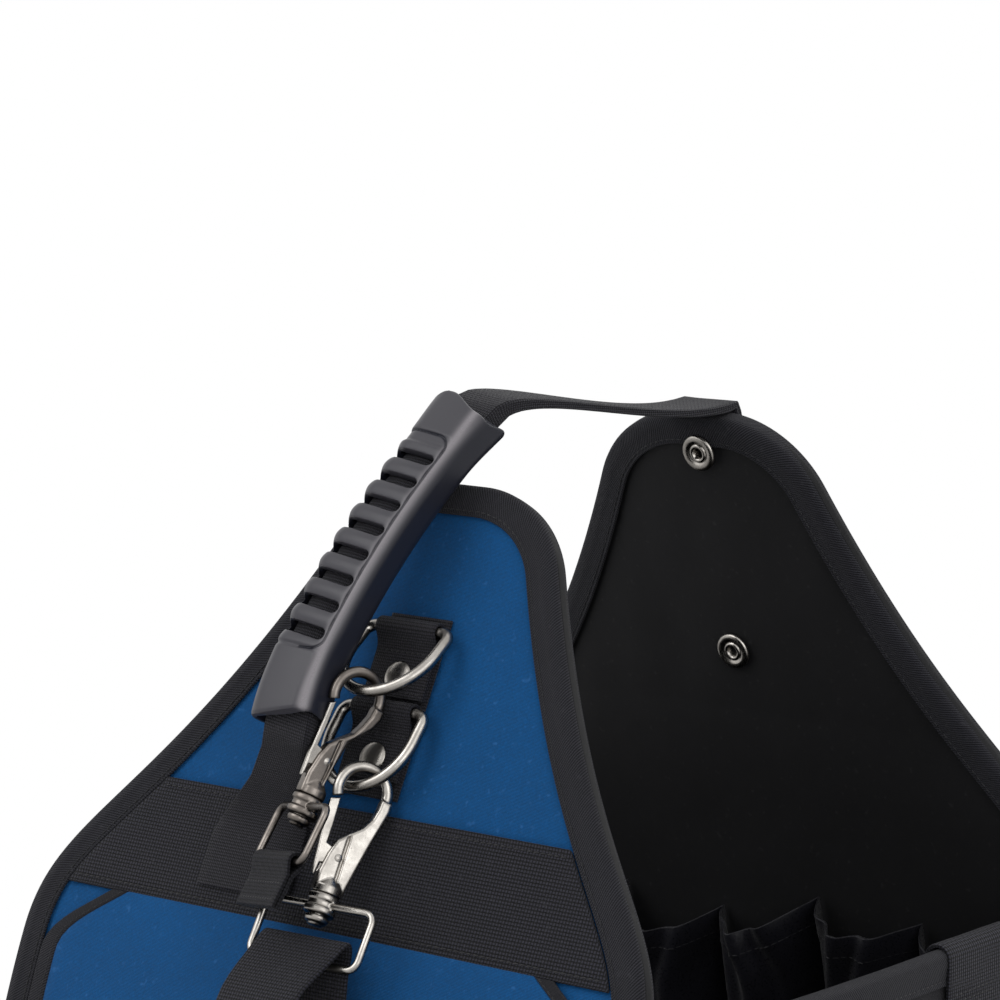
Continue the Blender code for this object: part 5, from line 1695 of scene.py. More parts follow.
@dataclass
class Base:
    """The moulded tray that the walls stand in, and the stiff floor board in it."""

    nodes: dict[str, bpy.types.Object]
    inside: tuple[float, float] = (163.3 * MM, 189.7 * MM)
    wall: float = 3.0 * MM
    floor: float = 4.0 * MM
    height: float = BASE_HEIGHT
    corner: float = 7.0 * MM
    inside_corner: float = 0.9 * MM
    foot_rounding: float = 3.0 * MM
    lip: float = 0.8 * MM

    def build(self) -> None:
        """Builds the tray, and gives the floor board its finish."""
        show("moulded_tray", self.tray(), [BASE_RUBBER], "bag", ["moulded_base"], sharp=50)
        board = self.nodes["floor_board"]
        for slot in board.material_slots:
            slot.material = WALL_CLOTH.material()
        LOG.info("floor_board keeps its packed shape")

    def tray(self) -> bpy.types.Mesh:
        """The tray: a rounded foot, a shallow step below its rim, and a soft lip.

        Returns:
            The mesh.
        """
        half_x, half_y = (side + self.wall for side in self.inside)
        outer = [(self.foot_rounding * (1 - math.sin(math.radians(a))),
                  self.foot_rounding * (1 - math.cos(math.radians(a)))) for a in range(0, 91, 15)]
        outer += [(0.0, self.height * 0.3), (0.0, self.height * 0.72), (0.35 * MM, self.height * 0.735),
                  (0.35 * MM, self.height * 0.76), (0.0, self.height * 0.775)]
        outer += [(self.lip * (1 - math.cos(math.radians(a))),
                   self.height - self.lip * (1 - math.sin(math.radians(a)))) for a in range(0, 91, 30)]
        rings = []
        for inset, height in outer:
            rings.append([Vector((x, y, height)) for x, y in
                          rounded_rectangle(half_x - inset, half_y - inset, self.corner - inset * 0.8, 8)])
        for height in (self.height - 0.4 * MM, self.floor * 2, self.floor):
            rings.append([Vector((x, y, height)) for x, y in
                          rounded_rectangle(*self.inside, self.inside_corner, 8)])
        return tubed(rings)


# Rings and rivets


@dataclass
class RingMount:
    """The webbing strip on the front panel with its two D-rings, folded tabs and rivets."""

    width: float = 32.0 * MM
    thickness: float = 1.4 * MM
    strip_top: float = 57.0 * MM
    strip_bottom: float = 134.0 * MM
    tab_length: float = 28.5 * MM
    tab_pitch: float = 2.6 * MM
    rivet_drop: float = 20.0 * MM
    wire_radius: float = 2.4 * MM
    half_width: float = 21.5 * MM
    corner: float = 4.5 * MM
    reach: float = 36.0 * MM
    shoulder: float = 12.0 * MM
    depths: dict[str, float] = field(default_factory=lambda: {"upper": 64.0 * MM, "lower": 98.5 * MM})
    swings: dict[str, float] = field(default_factory=lambda: {"upper": 27.5, "lower": 13.0})

    @property
    def seat(self) -> float:
        """The off of the tabs' undersides."""
        return 2 * GAP + self.thickness

    def ring_frame(self, word: str) -> Matrix:
        """The frame of a D-ring: its bar along X, its round side down -Y."""
        off = self.seat + self.thickness + GAP + self.wire_radius
        return (FRONT.frame(0, self.depths[word], off)
                @ Matrix.Rotation(math.radians(-self.swings[word]), 4, "X"))

    def build(self) -> None:
        """Builds the strip, the tabs, the rings and their rivets."""
        stations = []
        count = 24
        for i in range(count + 1):
            depth = self.strip_top + (self.strip_bottom - self.strip_top) * i / count
            stations.append(Station(FRONT.point(0, depth, GAP + self.thickness / 2), Vector((1, 0, 0)),
                                    FRONT.outward(depth), self.width, self.thickness))
        show("ring_strip_webbing", strap(stations, ripple=0.15 * MM), [STRAP_WEBBING], "bag", ["ring_strip"])
        seams = []
        for side in (-1, 1):
            x = side * (self.width / 2 - 2.2 * MM)
            places = [FRONT.point(x, self.strip_top + (self.strip_bottom - self.strip_top) * i / 20,
                                  GAP + self.thickness - 0.1 * MM) for i in range(21)]
            seams.append(Seam(places, [FRONT.outward(0)] * 21, 2.8 * MM))
        for word in ("upper", "lower"):
            frame = self.ring_frame(word)
            self.tab(word, seams)
            show(f"{word}_steel_ring", self.ring_mesh(), [NICKEL], f"{word}_ring_body", [f"{word}_d_ring"],
                 matrix=frame)
            head = Rivet(self.seat + 2 * self.thickness, FRONT.inside - GAP)
            show(f"{word}_ring_rivet", head.mesh(), [NICKEL], "bag", [f"{word}_tab_rivet"],
                 matrix=FRONT.frame(0, self.depths[word] + self.rivet_drop, 0.0), sharp=50)
        show("ring_strip_thread", stitches(seams), [THREAD], "bag")

    def tab(self, word: str, seams: list[Seam]) -> None:
        """Webbing folded round a ring's bar and sewn to the strip.

        Args:
            word: which ring.
            seams: where its seams are added.
        """
        bore = self.wire_radius + GAP
        middle = bore + self.thickness / 2
        shell = bore + self.thickness
        low, high = -shell + self.thickness / 2, -shell + 1.5 * self.thickness
        off = self.seat + self.thickness + GAP + self.wire_radius
        frame = FRONT.frame(0, self.depths[word], off)
        path = [(-self.tab_length * (1 - i / 8), low) for i in range(8)]
        path += arc((0.0, 0.0), middle, -90, 118, 22)
        path += [(-5.2 * MM, high + 1.7 * MM), (-7.4 * MM, high + 0.5 * MM), (-9.8 * MM, high)]
        path += [(-9.8 * MM - (self.tab_length - 9.8 * MM) * i / 7, high) for i in range(1, 8)]
        points = [frame @ Vector((0, y, z)) for y, z in path]
        across = frame.to_3x3() @ Vector((1, 0, 0))
        stations = folded(points, across, self.width - 0.6 * MM, self.thickness - 0.1 * MM)
        show(f"{word}_folded_tab", strap(stations, ripple=0.12 * MM, seed=self.depths[word]), [STRAP_WEBBING],
             "bag", [f"{word}_ring_tab"])
        rise = high + self.thickness / 2 - 0.1 * MM
        for drop in (9.6 * MM, self.tab_length - 2 * MM):
            places = [frame @ Vector((self.width / 2 * 0.86 * (k / 6 - 1), -drop, rise)) for k in range(13)]
            seams.append(Seam(places, [frame.to_3x3() @ Vector((0, 0, 1))] * 13, self.tab_pitch))

    def ring_mesh(self) -> bpy.types.Mesh:
        """The round wire of a D-ring in its own axes.

        Returns:
            The mesh.
        """
        half, corner = self.half_width, self.corner
        points = [(half - corner - (2 * half - 2 * corner) * (1 - i / 14), 0.0) for i in range(14)]
        points += arc((half - corner, -corner), corner, 90, 0, 8)
        drop = self.reach - self.shoulder
        points += [(half, -corner - (self.shoulder - corner) * i / 4) for i in range(1, 4)]
        for i in range(49):
            angle = math.radians(-180 * i / 48)
            points.append((half * math.cos(angle), -self.shoulder + drop * math.sin(angle)))
        points += [(-half, -self.shoulder + (self.shoulder - corner) * i / 4) for i in range(1, 4)]
        points += arc((corner - half, -corner), corner, 180, 90, 8)[:-1]
        return wire([Vector((x, y, 0)) for x, y in points], self.wire_radius, closed=True, sides=22)


@dataclass
class Rivet:
    """A domed rivet with a hollow shank and a flange with concentric rings on the inside."""

    seat: float
    inside: float
    head_radius: float = 6.5 * MM
    head_height: float = 1.6 * MM
    shank: float = 2.6 * MM
    flange_radius: float = 8.3 * MM
    flange: float = 1.7 * MM
    bore: float = 1.7 * MM
    flange_shares: tuple[tuple[float, float], ...] = (
        (1.0, 0.02), (1.01, -0.3), (0.99, -0.6), (0.94, -0.85), (0.84, -0.98), (0.72, -0.97), (0.62, -0.86),
        (0.57, -0.62), (0.53, -0.58), (0.49, -0.84), (0.43, -1.0), (0.36, -0.97), (0.3, -0.7), (0.25, 0.1))

    def mesh(self) -> bpy.types.Mesh:
        """The rivet turned about its axis, its head up.

        Returns:
            The mesh.
        """
        base = self.seat + GAP
        profile = [(0.01 * MM, base + self.head_height)]
        for i in range(1, 13):
            angle = math.radians(78 * i / 12)
            profile.append((self.head_radius * 0.98 * math.sin(angle) / math.sin(math.radians(78)),
                            base + self.head_height * (0.22 + 0.78 * (math.cos(angle) - 0.208) / 0.792)))
        profile += [(self.head_radius, base + self.head_height * 0.1), (self.head_radius * 0.97, base),
                    (self.shank, base), (self.shank, self.inside)]
        profile += [(self.flange_radius * radius, self.inside + self.flange * drop)
                    for radius, drop in self.flange_shares]
        profile += [(self.bore, self.inside + 1 * MM), (self.bore, self.seat), (0.01 * MM, self.seat)]
        return turned(profile)


# Handle and grip


@dataclass
class Handle:
    """The webbing handle: riveted to the rear panel, through the grip and down to the front band."""

    width: float = 31.0 * MM
    thickness: float = 4.0 * MM
    rear_end: float = 128.0 * MM
    rear_middle: float = 61.7 * MM
    rear_rivets: tuple[float, float] = (15.5 * MM, 111.5 * MM)
    grip_upper: tuple[float, float, float] = (-5.0 * MM, 15.5 * MM, 30.5 * MM)
    grip_lower: tuple[float, float, float] = (-26.0 * MM, 115.0 * MM, 33.5 * MM)
    sagitta: float = 9.5 * MM
    grip_width: float = 31.0 * MM
    grip_depth: float = 21.0 * MM
    corners: tuple[float, float, float, float] = (5.0 * MM, 8.5 * MM, 6.5 * MM, 6.5 * MM)
    dome: float = 0.8 * MM
    collar: float = 0.9 * MM
    lower_collar: float = 27.5 * MM
    upper_collar: float = 25.0 * MM
    strap_in_grip: tuple[float, float] = (24.5 * MM, 9.0 * MM)
    strap_crown: float = 2.2 * MM
    slot_count: int = 8
    slot_pitch: float = 11.8 * MM
    slot_width: float = 5.2 * MM
    slot_half_length: float = 12.0 * MM
    slot_shift: float = 1.8 * MM
    slot_first: float = 38.1 * MM
    rib: float = 0.9 * MM
    overrun: float = 5.0 * MM
    grip_reach: float = 18.0 * MM
    rise_share: float = 0.2
    shallow: float = 2.4 * MM
    top_cut: float = 4.0 * MM
    end_notch: float = 6.5 * MM
    rim: float = 1.5 * MM
    end_bend: float = 5.0 * MM
    end_slim: float = 2.0 * MM
    end_reach: float = 36.0 * MM
    notch_reach: float = 24.0 * MM
    slim_reach: float = 40.0 * MM
    # Where across the grip the painted highlight runs, and how wide it is.
    ridge: tuple[float, float] = (12.4 * MM, 1.9 * MM)
    groove_depth: float = 0.7 * MM
    groove_width: float = 0.9 * MM
    groove_left: float = -14.6 * MM
    groove_corners: tuple[tuple[float, float], ...] = ((4.6 * MM, 7.0 * MM), (6.4 * MM, 5.2 * MM))
    grip_voxel: float = 0.36 * MM
    # Below the grip, in millimetres: across, depth, off, width and thickness.
    front_run: tuple[tuple[float, ...], ...] = (
        (-27.5, 127.0, 25.0, 24.5, 5.4), (-35.0, 137.0, 15.0, 30.0, 3.8), (-42.5, 145.5, 6.8, 40.0, 2.6),
        (-46.0, 153.0, 3.3, 47.0, 1.8), (-47.0, 162.0, 3.3, 50.0, 1.8), (-47.0, 182.0, 3.3, 50.0, 1.8))

    def __post_init__(self) -> None:
        """Works out the grip's arc."""
        top = FRONT.point(self.grip_upper[0], 0.0, 0.0)
        self.upper = top + Vector((0, self.grip_upper[1], self.grip_upper[2]))
        self.lower = FRONT.point(*self.grip_lower)
        chord = self.upper - self.lower
        self.along = chord.normalized()
        out = FRONT.outward(0.0)
        self.out = (out - self.along * out.dot(self.along)).normalized()
        self.across = self.along.cross(self.out)
        self.radius = (chord.length / 2) ** 2 / (2 * self.sagitta) + self.sagitta / 2
        self.centre = (self.upper + self.lower) / 2 - self.out * (self.radius - self.sagitta)
        self.half_angle = math.asin(chord.length / 2 / self.radius)
        self.length = 2 * self.half_angle * self.radius

    def at(self, distance: float) -> tuple[Vector, Vector, Vector]:
        """Place, direction and outward direction at a distance along the grip's arc.

        Args:
            distance: the distance from the lower end.

        Returns:
            The three vectors.
        """
        angle = -self.half_angle + distance / self.radius
        outward = self.out * math.cos(angle) + self.along * math.sin(angle)
        along = self.along * math.cos(angle) - self.out * math.sin(angle)
        share = max(1 - distance / self.end_reach, 0.0)
        bend = self.across * (self.end_bend * share ** 2)
        lean = (along - self.across * (2 * self.end_bend * share / self.end_reach)).normalized()
        return self.centre + outward * self.radius + bend, lean, outward

    def matrix(self, distance: float) -> Matrix:
        """Local X across, Y along and Z outwards at a distance along the arc."""
        place, along, outward = self.at(distance)
        return axes(along.cross(outward), along, outward, place)

    def build(self) -> None:
        """Builds the strap, the grip and the two rear rivets."""
        webbing = strap(eased(self.stations(), 3 * MM), layers=2, ripple=0.35 * MM, columns=10, seed=2)
        show("handle_webbing", webbing, [STRAP_WEBBING], "bag", ["handle_strap"])
        show("moulded_grip", self.grip(), [GRIP_PLASTIC], "bag", ["grip"], sharp=60)
        for word, depth in zip(("upper", "lower"), self.rear_rivets):
            lift = GAP if depth > 2 * BINDING_COVER else BINDING_THICKNESS + 2 * GAP
            piece = Rivet(REAR.outside + lift + self.thickness, REAR.inside - lift)
            show(f"handle_{word}_eyelet", piece.mesh(), [NICKEL], "bag", [f"handle_{word}_rivet"],
                 matrix=REAR.frame(0, depth, 0.0), sharp=50)

    def stations(self) -> list[Station]:
        """Where the strap runs, from its rear end to its front end.

        Returns:
            Its stations in order.
        """
        found = []
        half = self.thickness / 2
        seat = REAR.outside + GAP + half
        over = REAR.outside + BINDING_THICKNESS + 2 * GAP + half
        across = Vector((1, 0, 0))
        for depth, off in ((self.rear_end, seat), (self.rear_middle, seat), (2 * BINDING_COVER, seat),
                           (BINDING_COVER, over), (0.0, over)):
            found.append(Station(REAR.point(0, depth, off), across, REAR.outward(depth),
                                 self.width, self.thickness))
        rise = BINDING_THICKNESS + 2 * GAP
        corner = REAR.point(0, 0, REAR.outside)
        slant = (REAR.outward(0) + REAR.up(0)).normalized()
        found.append(Station(corner + (REAR.outward(0) + REAR.up(0)) * rise + slant * half, across, slant,
                             self.width, self.thickness))
        start = REAR.point(0, -rise - half, REAR.outside - half)
        end, end_along, _ = self.at(self.length + GAP)
        first = (REAR.up(0) * self.rise_share - REAR.outward(0)).normalized()
        reach = (end - start).length / 3
        curve = [start, start + first * reach, end + end_along * self.grip_reach, end]
        for i in range(13):
            t = i / 12
            weights = ((1 - t) ** 3, 3 * (1 - t) ** 2 * t, 3 * (1 - t) * t * t, t ** 3)
            slopes = (-3 * (1 - t) ** 2, 3 * (1 - t) ** 2 - 6 * (1 - t) * t, 6 * (1 - t) * t - 3 * t * t,
                      3 * t * t)
            place = sum((p * w for p, w in zip(curve, weights)), Vector())
            slope = sum((p * w for p, w in zip(curve, slopes)), Vector()).normalized()
            side = across.lerp(self.across, t)
            side = (side - slope * side.dot(slope)).normalized()
            out = side.cross(-slope)
            out = -out if out.z < 0 else out
            width = self.width + (self.strap_in_grip[0] - self.width) * t
            thick = self.thickness * (1 - 0.2 * math.sin(math.pi * t))
            thick += (self.strap_in_grip[1] - self.thickness) * t ** 6
            found.append(Station(place, side, out, width, thick))
        for i in range(10, -1, -1):
            distance = -self.overrun + (self.length + 2 * self.overrun) * i / 10
            if i < 10:
                place, _, out = self.at(distance)
                crown = self.strap_crown * step_up(min(distance, self.length - distance), 0.0, 15 * MM)
                found.append(Station(place, self.across, out, *self.strap_in_grip, crown))
        side = self.across
        for index, row in enumerate(self.front_run):
            x, depth, off, width, thick = (value * MM for value in row)
            here = side.lerp(across, min((index + 1) / 3, 1.0)).normalized()
            out = FRONT.outward(0)
            if index < 2:
                out = found[-1].out.lerp(FRONT.outward(0), 0.5).normalized()
            out = (out - here * out.dot(here)).normalized()
            found.append(Station(FRONT.point(x, depth, off), here, out, width, thick))
        return found

    def outline(self, swell: float) -> list[tuple[float, float]]:
        """The plain outline of the grip: a tight ridge on its outer right, a rounder outer left.

        Args:
            swell: how far it stands out from its plain size.

        Returns:
            The points in order.
        """
        half_x, half_z = self.grip_width / 2 + swell, self.grip_depth / 2 + swell
        bends = []
        for quarter, radius in enumerate(self.corners):
            sign_x, sign_z = (1, -1, -1, 1)[quarter], (1, 1, -1, -1)[quarter]
            centre = (sign_x * (half_x - radius), sign_z * (half_z - radius) + self.shallow * (sign_z < 0))
            bends.append(arc(centre, radius, 90 * quarter, 90 * quarter + 90, 12))
        found = []
        for bend, after in zip(bends, bends[1:] + bends[:1]):
            (x, z), (end_x, end_z) = bend[-1], after[0]
            found += bend + [(x + (end_x - x) * k / 12, z + (end_z - z) * k / 12) for k in range(1, 12)]
        return [(x, z + self.dome * max(1 - (x / half_x) ** 2, 0.0) * (z > 0)) for x, z in found]

    def section(self, distance: float) -> list[tuple[float, float]]:
        """The grip's outline at a distance: swollen ends, and ribs between collars on its outer side.

        Args:
            distance: the distance along the arc.

        Returns:
            The points in order.
        """
        edge = abs(2 * distance / self.length - 1)
        swell = 1.0 * MM * step_up(edge, 0.62, 1.0)
        low = step_up(distance, self.lower_collar - 0.5 * MM, self.lower_collar + 0.5 * MM)
        top = self.length - self.upper_collar
        high = 1 - step_up(distance, top - 0.5 * MM, top + 0.5 * MM)
        between = low * high
        phase = (self.length - self.slot_first - distance) / self.slot_pitch
        near = step_up(phase, -0.75, -0.5)
        near *= 1 - step_up(phase, self.slot_count - 0.5, self.slot_count - 0.25)
        hump = (0.5 - 0.5 * math.cos(2 * math.pi * phase)) ** 0.7 * near
        found = []
        for x, z in self.outline(swell):
            inside = 1 - step_up(x, 9.5 * MM, 12.0 * MM)
            outer = step_up(z, -7 * MM, -1 * MM) if x < 0 else step_up(z, 0.0, 4 * MM)
            push = self.collar * (1 - between) * 0.6 * inside
            push += between * inside * outer * (self.rib * (2 * hump - 1) * near - 0.25 * MM)
            length = math.hypot(x, z)
            found.append((x * (1 + push / length), z * (1 + push / length)))
        return found

    def grip(self) -> bpy.types.Mesh:
        """The moulded grip with its slots, parting groove and bore.

        Returns:
            The mesh.
        """
        stations = 200
        top = self.length - self.top_cut
        ends = [self.rim * share for share in (0.0, 0.08, 0.2, 0.4, 0.7)]
        inner = [self.rim + (top - 2 * self.rim) * i / stations for i in range(stations + 1)]
        rings = []
        for distance in ends + inner + [top - end for end in reversed(ends)]:
            edge = 1 - min(distance, top - distance, self.rim) / self.rim
            shrink = self.rim * 0.7 * (1 - math.sqrt(1 - edge ** 2))
            ring = []
            for x, z in self.section(distance):
                pull = 1 - shrink / math.hypot(x, z)
                low = self.low_cut(x, z) * max(1 - distance / self.notch_reach, 0.0)
                high = self.high_cut(x, z) * max(1 - (top - distance) / self.notch_reach, 0.0)
                slim = self.end_slim * step_up(x, 0.0, 12 * MM) * max(1 - distance / self.slim_reach, 0.0)
                ring.append(self.matrix(distance) @ Vector((x * pull - slim, low - high, z * pull)))
            rings.append(ring)
        outer = tubed(rings)
        half = (self.strap_in_grip[0] / 2 + GAP, self.strap_in_grip[1] / 2 + GAP + self.strap_crown)
        rings = []
        for i in range(31):
            distance = -self.overrun + (self.length + 2 * self.overrun) * i / 30
            mouth = 1.6 * MM * (1 - step_up(min(distance, self.length - distance), 0.0, 7 * MM))
            section = rounded_rectangle(half[0] + mouth, half[1] + mouth / 2, 2.4 * MM, 4)
            rings.append([self.matrix(distance) @ Vector((x, 0, z)) for x, z in section])
        tools = [tubed(rings)]
        for i in range(self.slot_count):
            distance = self.length - self.slot_first - self.slot_pitch * i
            side, wide = self.slot_half_length - self.slot_width / 2, self.slot_width / 2
            outline = arc((side, 0.0), wide, -90, 90, 10) + arc((-side, 0.0), wide, 90, 270, 10)
            cutter = plate(outline, self.grip_depth, 0.0)
            lift = Matrix.Translation((-self.slot_shift, 0, self.grip_depth / 2 + GAP))
            cutter.transform(self.matrix(distance) @ lift)
            tools.append(cutter)
        body = cast(cut(outer, tools), self.grip_voxel, 5)
        # The painted highlight mask goes on last, over the engraved body.
        return self.painted_highlight(engraved(body, self.groove(), self.groove_depth, self.groove_width))

    def low_cut(self, x: float, z: float) -> float:
        """How far the lower end is cut back at a place of the section: at its ridge, not at its inner flank.

        Args:
            x: the place across.
            z: the place outwards.

        Returns:
            The cut in metres.
        """
        ridge = max(1 - math.hypot(x - 13 * MM, z - 10 * MM) / (24 * MM), 0.0)
        flank = step_up(x, 10 * MM, 15 * MM) * (1 - step_up(z, -6 * MM, 9 * MM))
        return 0.4 * self.end_notch * ridge - 0.25 * self.end_notch * flank

    def high_cut(self, x: float, z: float) -> float:
        """How far the upper end is cut back at a place of the section: from its middle to its ridge.

        Args:
            x: the place across.
            z: the place outwards.

        Returns:
            The cut in metres.
        """
        ridge = step_up(x, -6 * MM, 13 * MM) * step_up(z, -6 * MM, 8 * MM)
        shoulder = (1 - step_up(x, -15 * MM, -8 * MM)) * 0.4
        return self.end_notch * (ridge + shoulder)

    def painted_highlight(self, mesh: bpy.types.Mesh) -> bpy.types.Mesh:
        """Marks the painted highlight on the grip: its ridge most, its outer side a little, its flanks and
        the groove not.

        Args:
            mesh: the grip, which is marked.

        Returns:
            The same mesh.
        """
        layer = mesh.attributes.new("highlight_mask", "FLOAT", "POINT")
        measure = distance_from(self.groove())
        values = []
        for vertex in mesh.vertices:
            offset = vertex.co - self.centre
            angle = math.atan2(offset.dot(self.along), offset.dot(self.out))
            distance = (angle + self.half_angle) * self.radius
            local = self.matrix(distance).inverted() @ vertex.co
            ridge = math.exp(-((local.x - self.ridge[0]) / self.ridge[1]) ** 2)
            ridge *= step_up(local.z, 7 * MM, 10 * MM)
            outer = step_up(local.z, 5 * MM, 10 * MM)
            clear = step_up(measure(vertex.co), 0.45 * MM, 0.85 * MM)
            # Painted highlight: strong along the ridge, faint over the outer side, none beside the groove so
            # that the groove stays dark.
            values.append(min(0.9 * ridge + 0.15 * outer, 1.0) * clear)
        layer.data.foreach_set("value", values)
        return mesh

    def groove(self) -> list[Vector]:
        """Points on the dome round the ribs, along the parting groove.

        Returns:
            The points in order.
        """
        low = self.length - self.slot_first - self.slot_pitch * (self.slot_count - 1) - 7.0 * MM
        high = self.length - self.upper_collar - 0.8 * MM
        (top_x, top_bend), (foot_x, foot_bend) = self.groove_corners
        corners = [(self.groove_left, high), (top_x, high)]
        corners += arc((top_x, high - top_bend), top_bend, 90, 0, 8)
        corners += arc((foot_x, low + foot_bend), foot_bend, 0, -90, 8) + [(1.5 * MM, low - 0.6 * MM)]
        dense = [corners[0]]
        for first, second in zip(corners, corners[1:]):
            count = max(int(math.hypot(second[0] - first[0], second[1] - first[1]) / (0.25 * MM)), 1)
            dense += [tuple(a + (b - a) * k / count for a, b in zip(first, second))
                      for k in range(1, count + 1)]
        return [self.matrix(y) @ Vector((x, 0, self.dome_at(y, x))) for x, y in dense]

    def dome_at(self, distance: float, x: float) -> float:
        """The height of the grip's outer side at a place across it.

        Args:
            distance: the distance along the arc.
            x: the place across.

        Returns:
            The height.
        """
        upper = sorted(pair for pair in self.section(distance) if pair[1] >= 0)
        for first, second in zip(upper, upper[1:]):
            if first[0] <= x <= second[0]:
                share = (x - first[0]) / max(second[0] - first[0], 1e-9)
                return first[1] + (second[1] - first[1]) * share
        return 0.0


# Snap hooks


@dataclass
class SnapHook:
    """A swivel snap hook that hangs on a D-ring: cast body, spring gate, pin and rectangular loop."""

    word: str
    mount: RingMount
    x: float
    roll: float
    yaw: float
    pitch: float
    loop_turn: float
    slim: float = 0.0
    # The finish of its body and loop: the upper hook takes the shaded copy, which paints the grip's shadow on
    # it.
    finish: Plated = NICKEL
    wire_radius: float = 2.3 * MM
    eye_radius: float = 10.4 * MM
    thickness: float = 6.0 * MM
    body_length: float = 44.0 * MM
    half_bottom: float = 6.0 * MM
    boss_radius: float = 6.6 * MM
    boss_height: float = 8.4 * MM
    stud: float = 2.8 * MM
    pivot: tuple[float, float] = (-1.0 * MM, -29.0 * MM)
    loop_half_width: float = 28.0 * MM
    loop_height: float = 24.0 * MM
    loop_wire: float = 2.0 * MM
    shown_wire: float = 1.6 * MM
    ring_rest: float = 2.2 * MM
    hook_voxel: float = 0.3 * MM
    lever: float = 2.5 * MM
    lever_voxel: float = 0.25 * MM
    gate_slot: tuple[float, float, float, float] = (-22.0 * MM, 2.8 * MM, -36.5 * MM, -23.6 * MM)
    gate_slot_width: float = 3.2 * MM
    line: tuple[float, float] = (1.3 * MM, 1.3 * MM)
    # The outlines of the body below its eye and of the spring lever, in millimetres.
    wedge: tuple[tuple[float, float], ...] = (
        (12.7, 0.0), (12.9, -4.0), (12.0, -9.0), (10.2, -18.0), (8.2, -30.0), (6.0, -44.0), (-6.0, -44.0),
        (-6.5, -36.0), (-5.4, -28.0), (-3.6, -22.0), (1.0, -17.2), (4.6, -13.6), (7.0, -9.0), (8.0, -4.0),
        (8.1, 0.0))
    lever_bar: tuple[tuple[float, float], ...] = (
        (-2.0, -25.8), (-7.0, -24.5), (-7.2, -17.0), (-8.0, -5.6), (-11.8, -7.2), (-11.2, -17.0),
        (-9.6, -29.0), (-8.6, -38.0), (-7.6, -38.4), (-7.2, -33.0), (-2.0, -32.2))

    def __post_init__(self) -> None:
        """Works out where the hook hangs."""
        mount = self.mount
        share = self.x / mount.half_width
        hang = -mount.shoulder - (mount.reach - mount.shoulder) * math.sqrt(1 - share * share)
        base = FRONT.frame(0, mount.depths["lower"], 0.0).to_3x3().to_4x4()
        turn = (Matrix.Rotation(math.radians(self.roll), 4, "Z")
                @ Matrix.Rotation(math.radians(-self.pitch), 4, "X")
                @ Matrix.Rotation(math.radians(self.yaw), 4, "Y"))
        matrix = base @ turn
        matrix.translation = mount.ring_frame(self.word) @ Vector((self.x, hang, 0))
        seat = self.eye_radius - self.wire_radius - mount.wire_radius - self.ring_rest
        self.matrix = matrix @ Matrix.Translation((0, -seat, 0))
        drop = self.body_length + GAP + self.boss_height / 2
        self.loop_matrix = (self.matrix @ Matrix.Translation((0, -drop, 0))
                            @ Matrix.Rotation(math.radians(self.loop_turn), 4, "Y"))

    def build(self) -> None:
        """Builds the hook's pieces."""
        word = self.word
        show(f"{word}_cast_hook", self.body(), [self.finish], f"{word}_hook_body", [f"{word}_hook"],
             matrix=self.matrix, sharp=180)
        pivot = Matrix.Translation((*self.pivot, 0))
        show(f"{word}_spring_gate", self.gate(), [NICKEL], f"{word}_gate_body", [f"{word}_gate"],
             matrix=self.matrix @ pivot, sharp=60)
        show(f"{word}_hinge_pin", self.pin(), [NICKEL], f"{word}_hook_body", [f"{word}_gate_pin"],
             matrix=self.matrix @ pivot, sharp=60)
        show(f"{word}_swivel_loop", self.loop(), [self.finish], f"{word}_loop_body",
             [f"{word}_loop"], matrix=self.loop_matrix, sharp=180)

    def body(self) -> bpy.types.Mesh:
        """The cast body: a round eye that flattens into a wedge, with a neck, stud and stud head.

        Returns:
            The mesh.
        """
        eye = [(self.eye_radius, -6 * MM), (self.eye_radius, -3 * MM)]
        eye += arc((0, 0), self.eye_radius, 0, 208, 40)
        tube = wire([Vector((x, y, 0)) for x, y in eye], self.wire_radius, sides=20)
        drawn = [(x * (1 - self.slim * step_up(-y, 6, 20) * (x > 5)), y) for x, y in self.wedge]
        flat = plate([(x * MM, y * MM) for x, y in drawn], self.thickness, 1.3 * MM)
        low = -self.body_length - self.boss_height - 2 * GAP
        turn = Matrix.Rotation(math.radians(-90), 4, "X")
        head = 5.0 * MM
        spin = turned([(0.01 * MM, low - 3.6 * MM), (head * 0.55, low - 3.5 * MM),
                       (head * 0.9, low - 2.6 * MM),
                       (head, low - 1.4 * MM), (head * 0.95, low - 0.2 * MM), (self.stud, low),
                       (self.stud, -self.body_length - 1 * MM), (self.half_bottom * 0.98, -self.body_length),
                       (self.half_bottom * 0.98, -self.body_length + 3 * MM),
                       (3.4 * MM, -self.body_length + 6.4 * MM),
                       (0.01 * MM, -self.body_length + 7 * MM)], 32)
        spin.transform(turn)
        body = cast(joined([tube, flat, spin]), self.hook_voxel, 4)
        lines = []
        for side in (-1, 1):
            lines += [Vector((0.6 + 0.9 * k / 120, -19 - 22 * k / 120, 0)) * MM
                      + Vector((0, 0, side * self.thickness / 2)) for k in range(121)]
        body = engraved(body, lines, *self.line)
        left, right, foot, top = self.gate_slot
        slot = plate([(left, foot), (right, foot), (right, top), (left, top)], self.gate_slot_width, 0.0)
        return cut(body, [slot])

    def gate(self) -> bpy.types.Mesh:
        """The spring lever: a bar down the hook's left side and an ear round the pin.

        Returns:
            The mesh.
        """
        px, py = self.pivot
        bar = [(x + (2.4 if y > -20 else 0.7) * self.slim * (x < -8.1), y) for x, y in self.lever_bar]
        outline = [(x * MM - px, y * MM - py) for x, y in bar] + arc((0.0, 0.0), 3.2 * MM, -90, 90, 12)
        return cast(plate(outline, self.lever, 0.4 * MM), self.lever_voxel, 3)

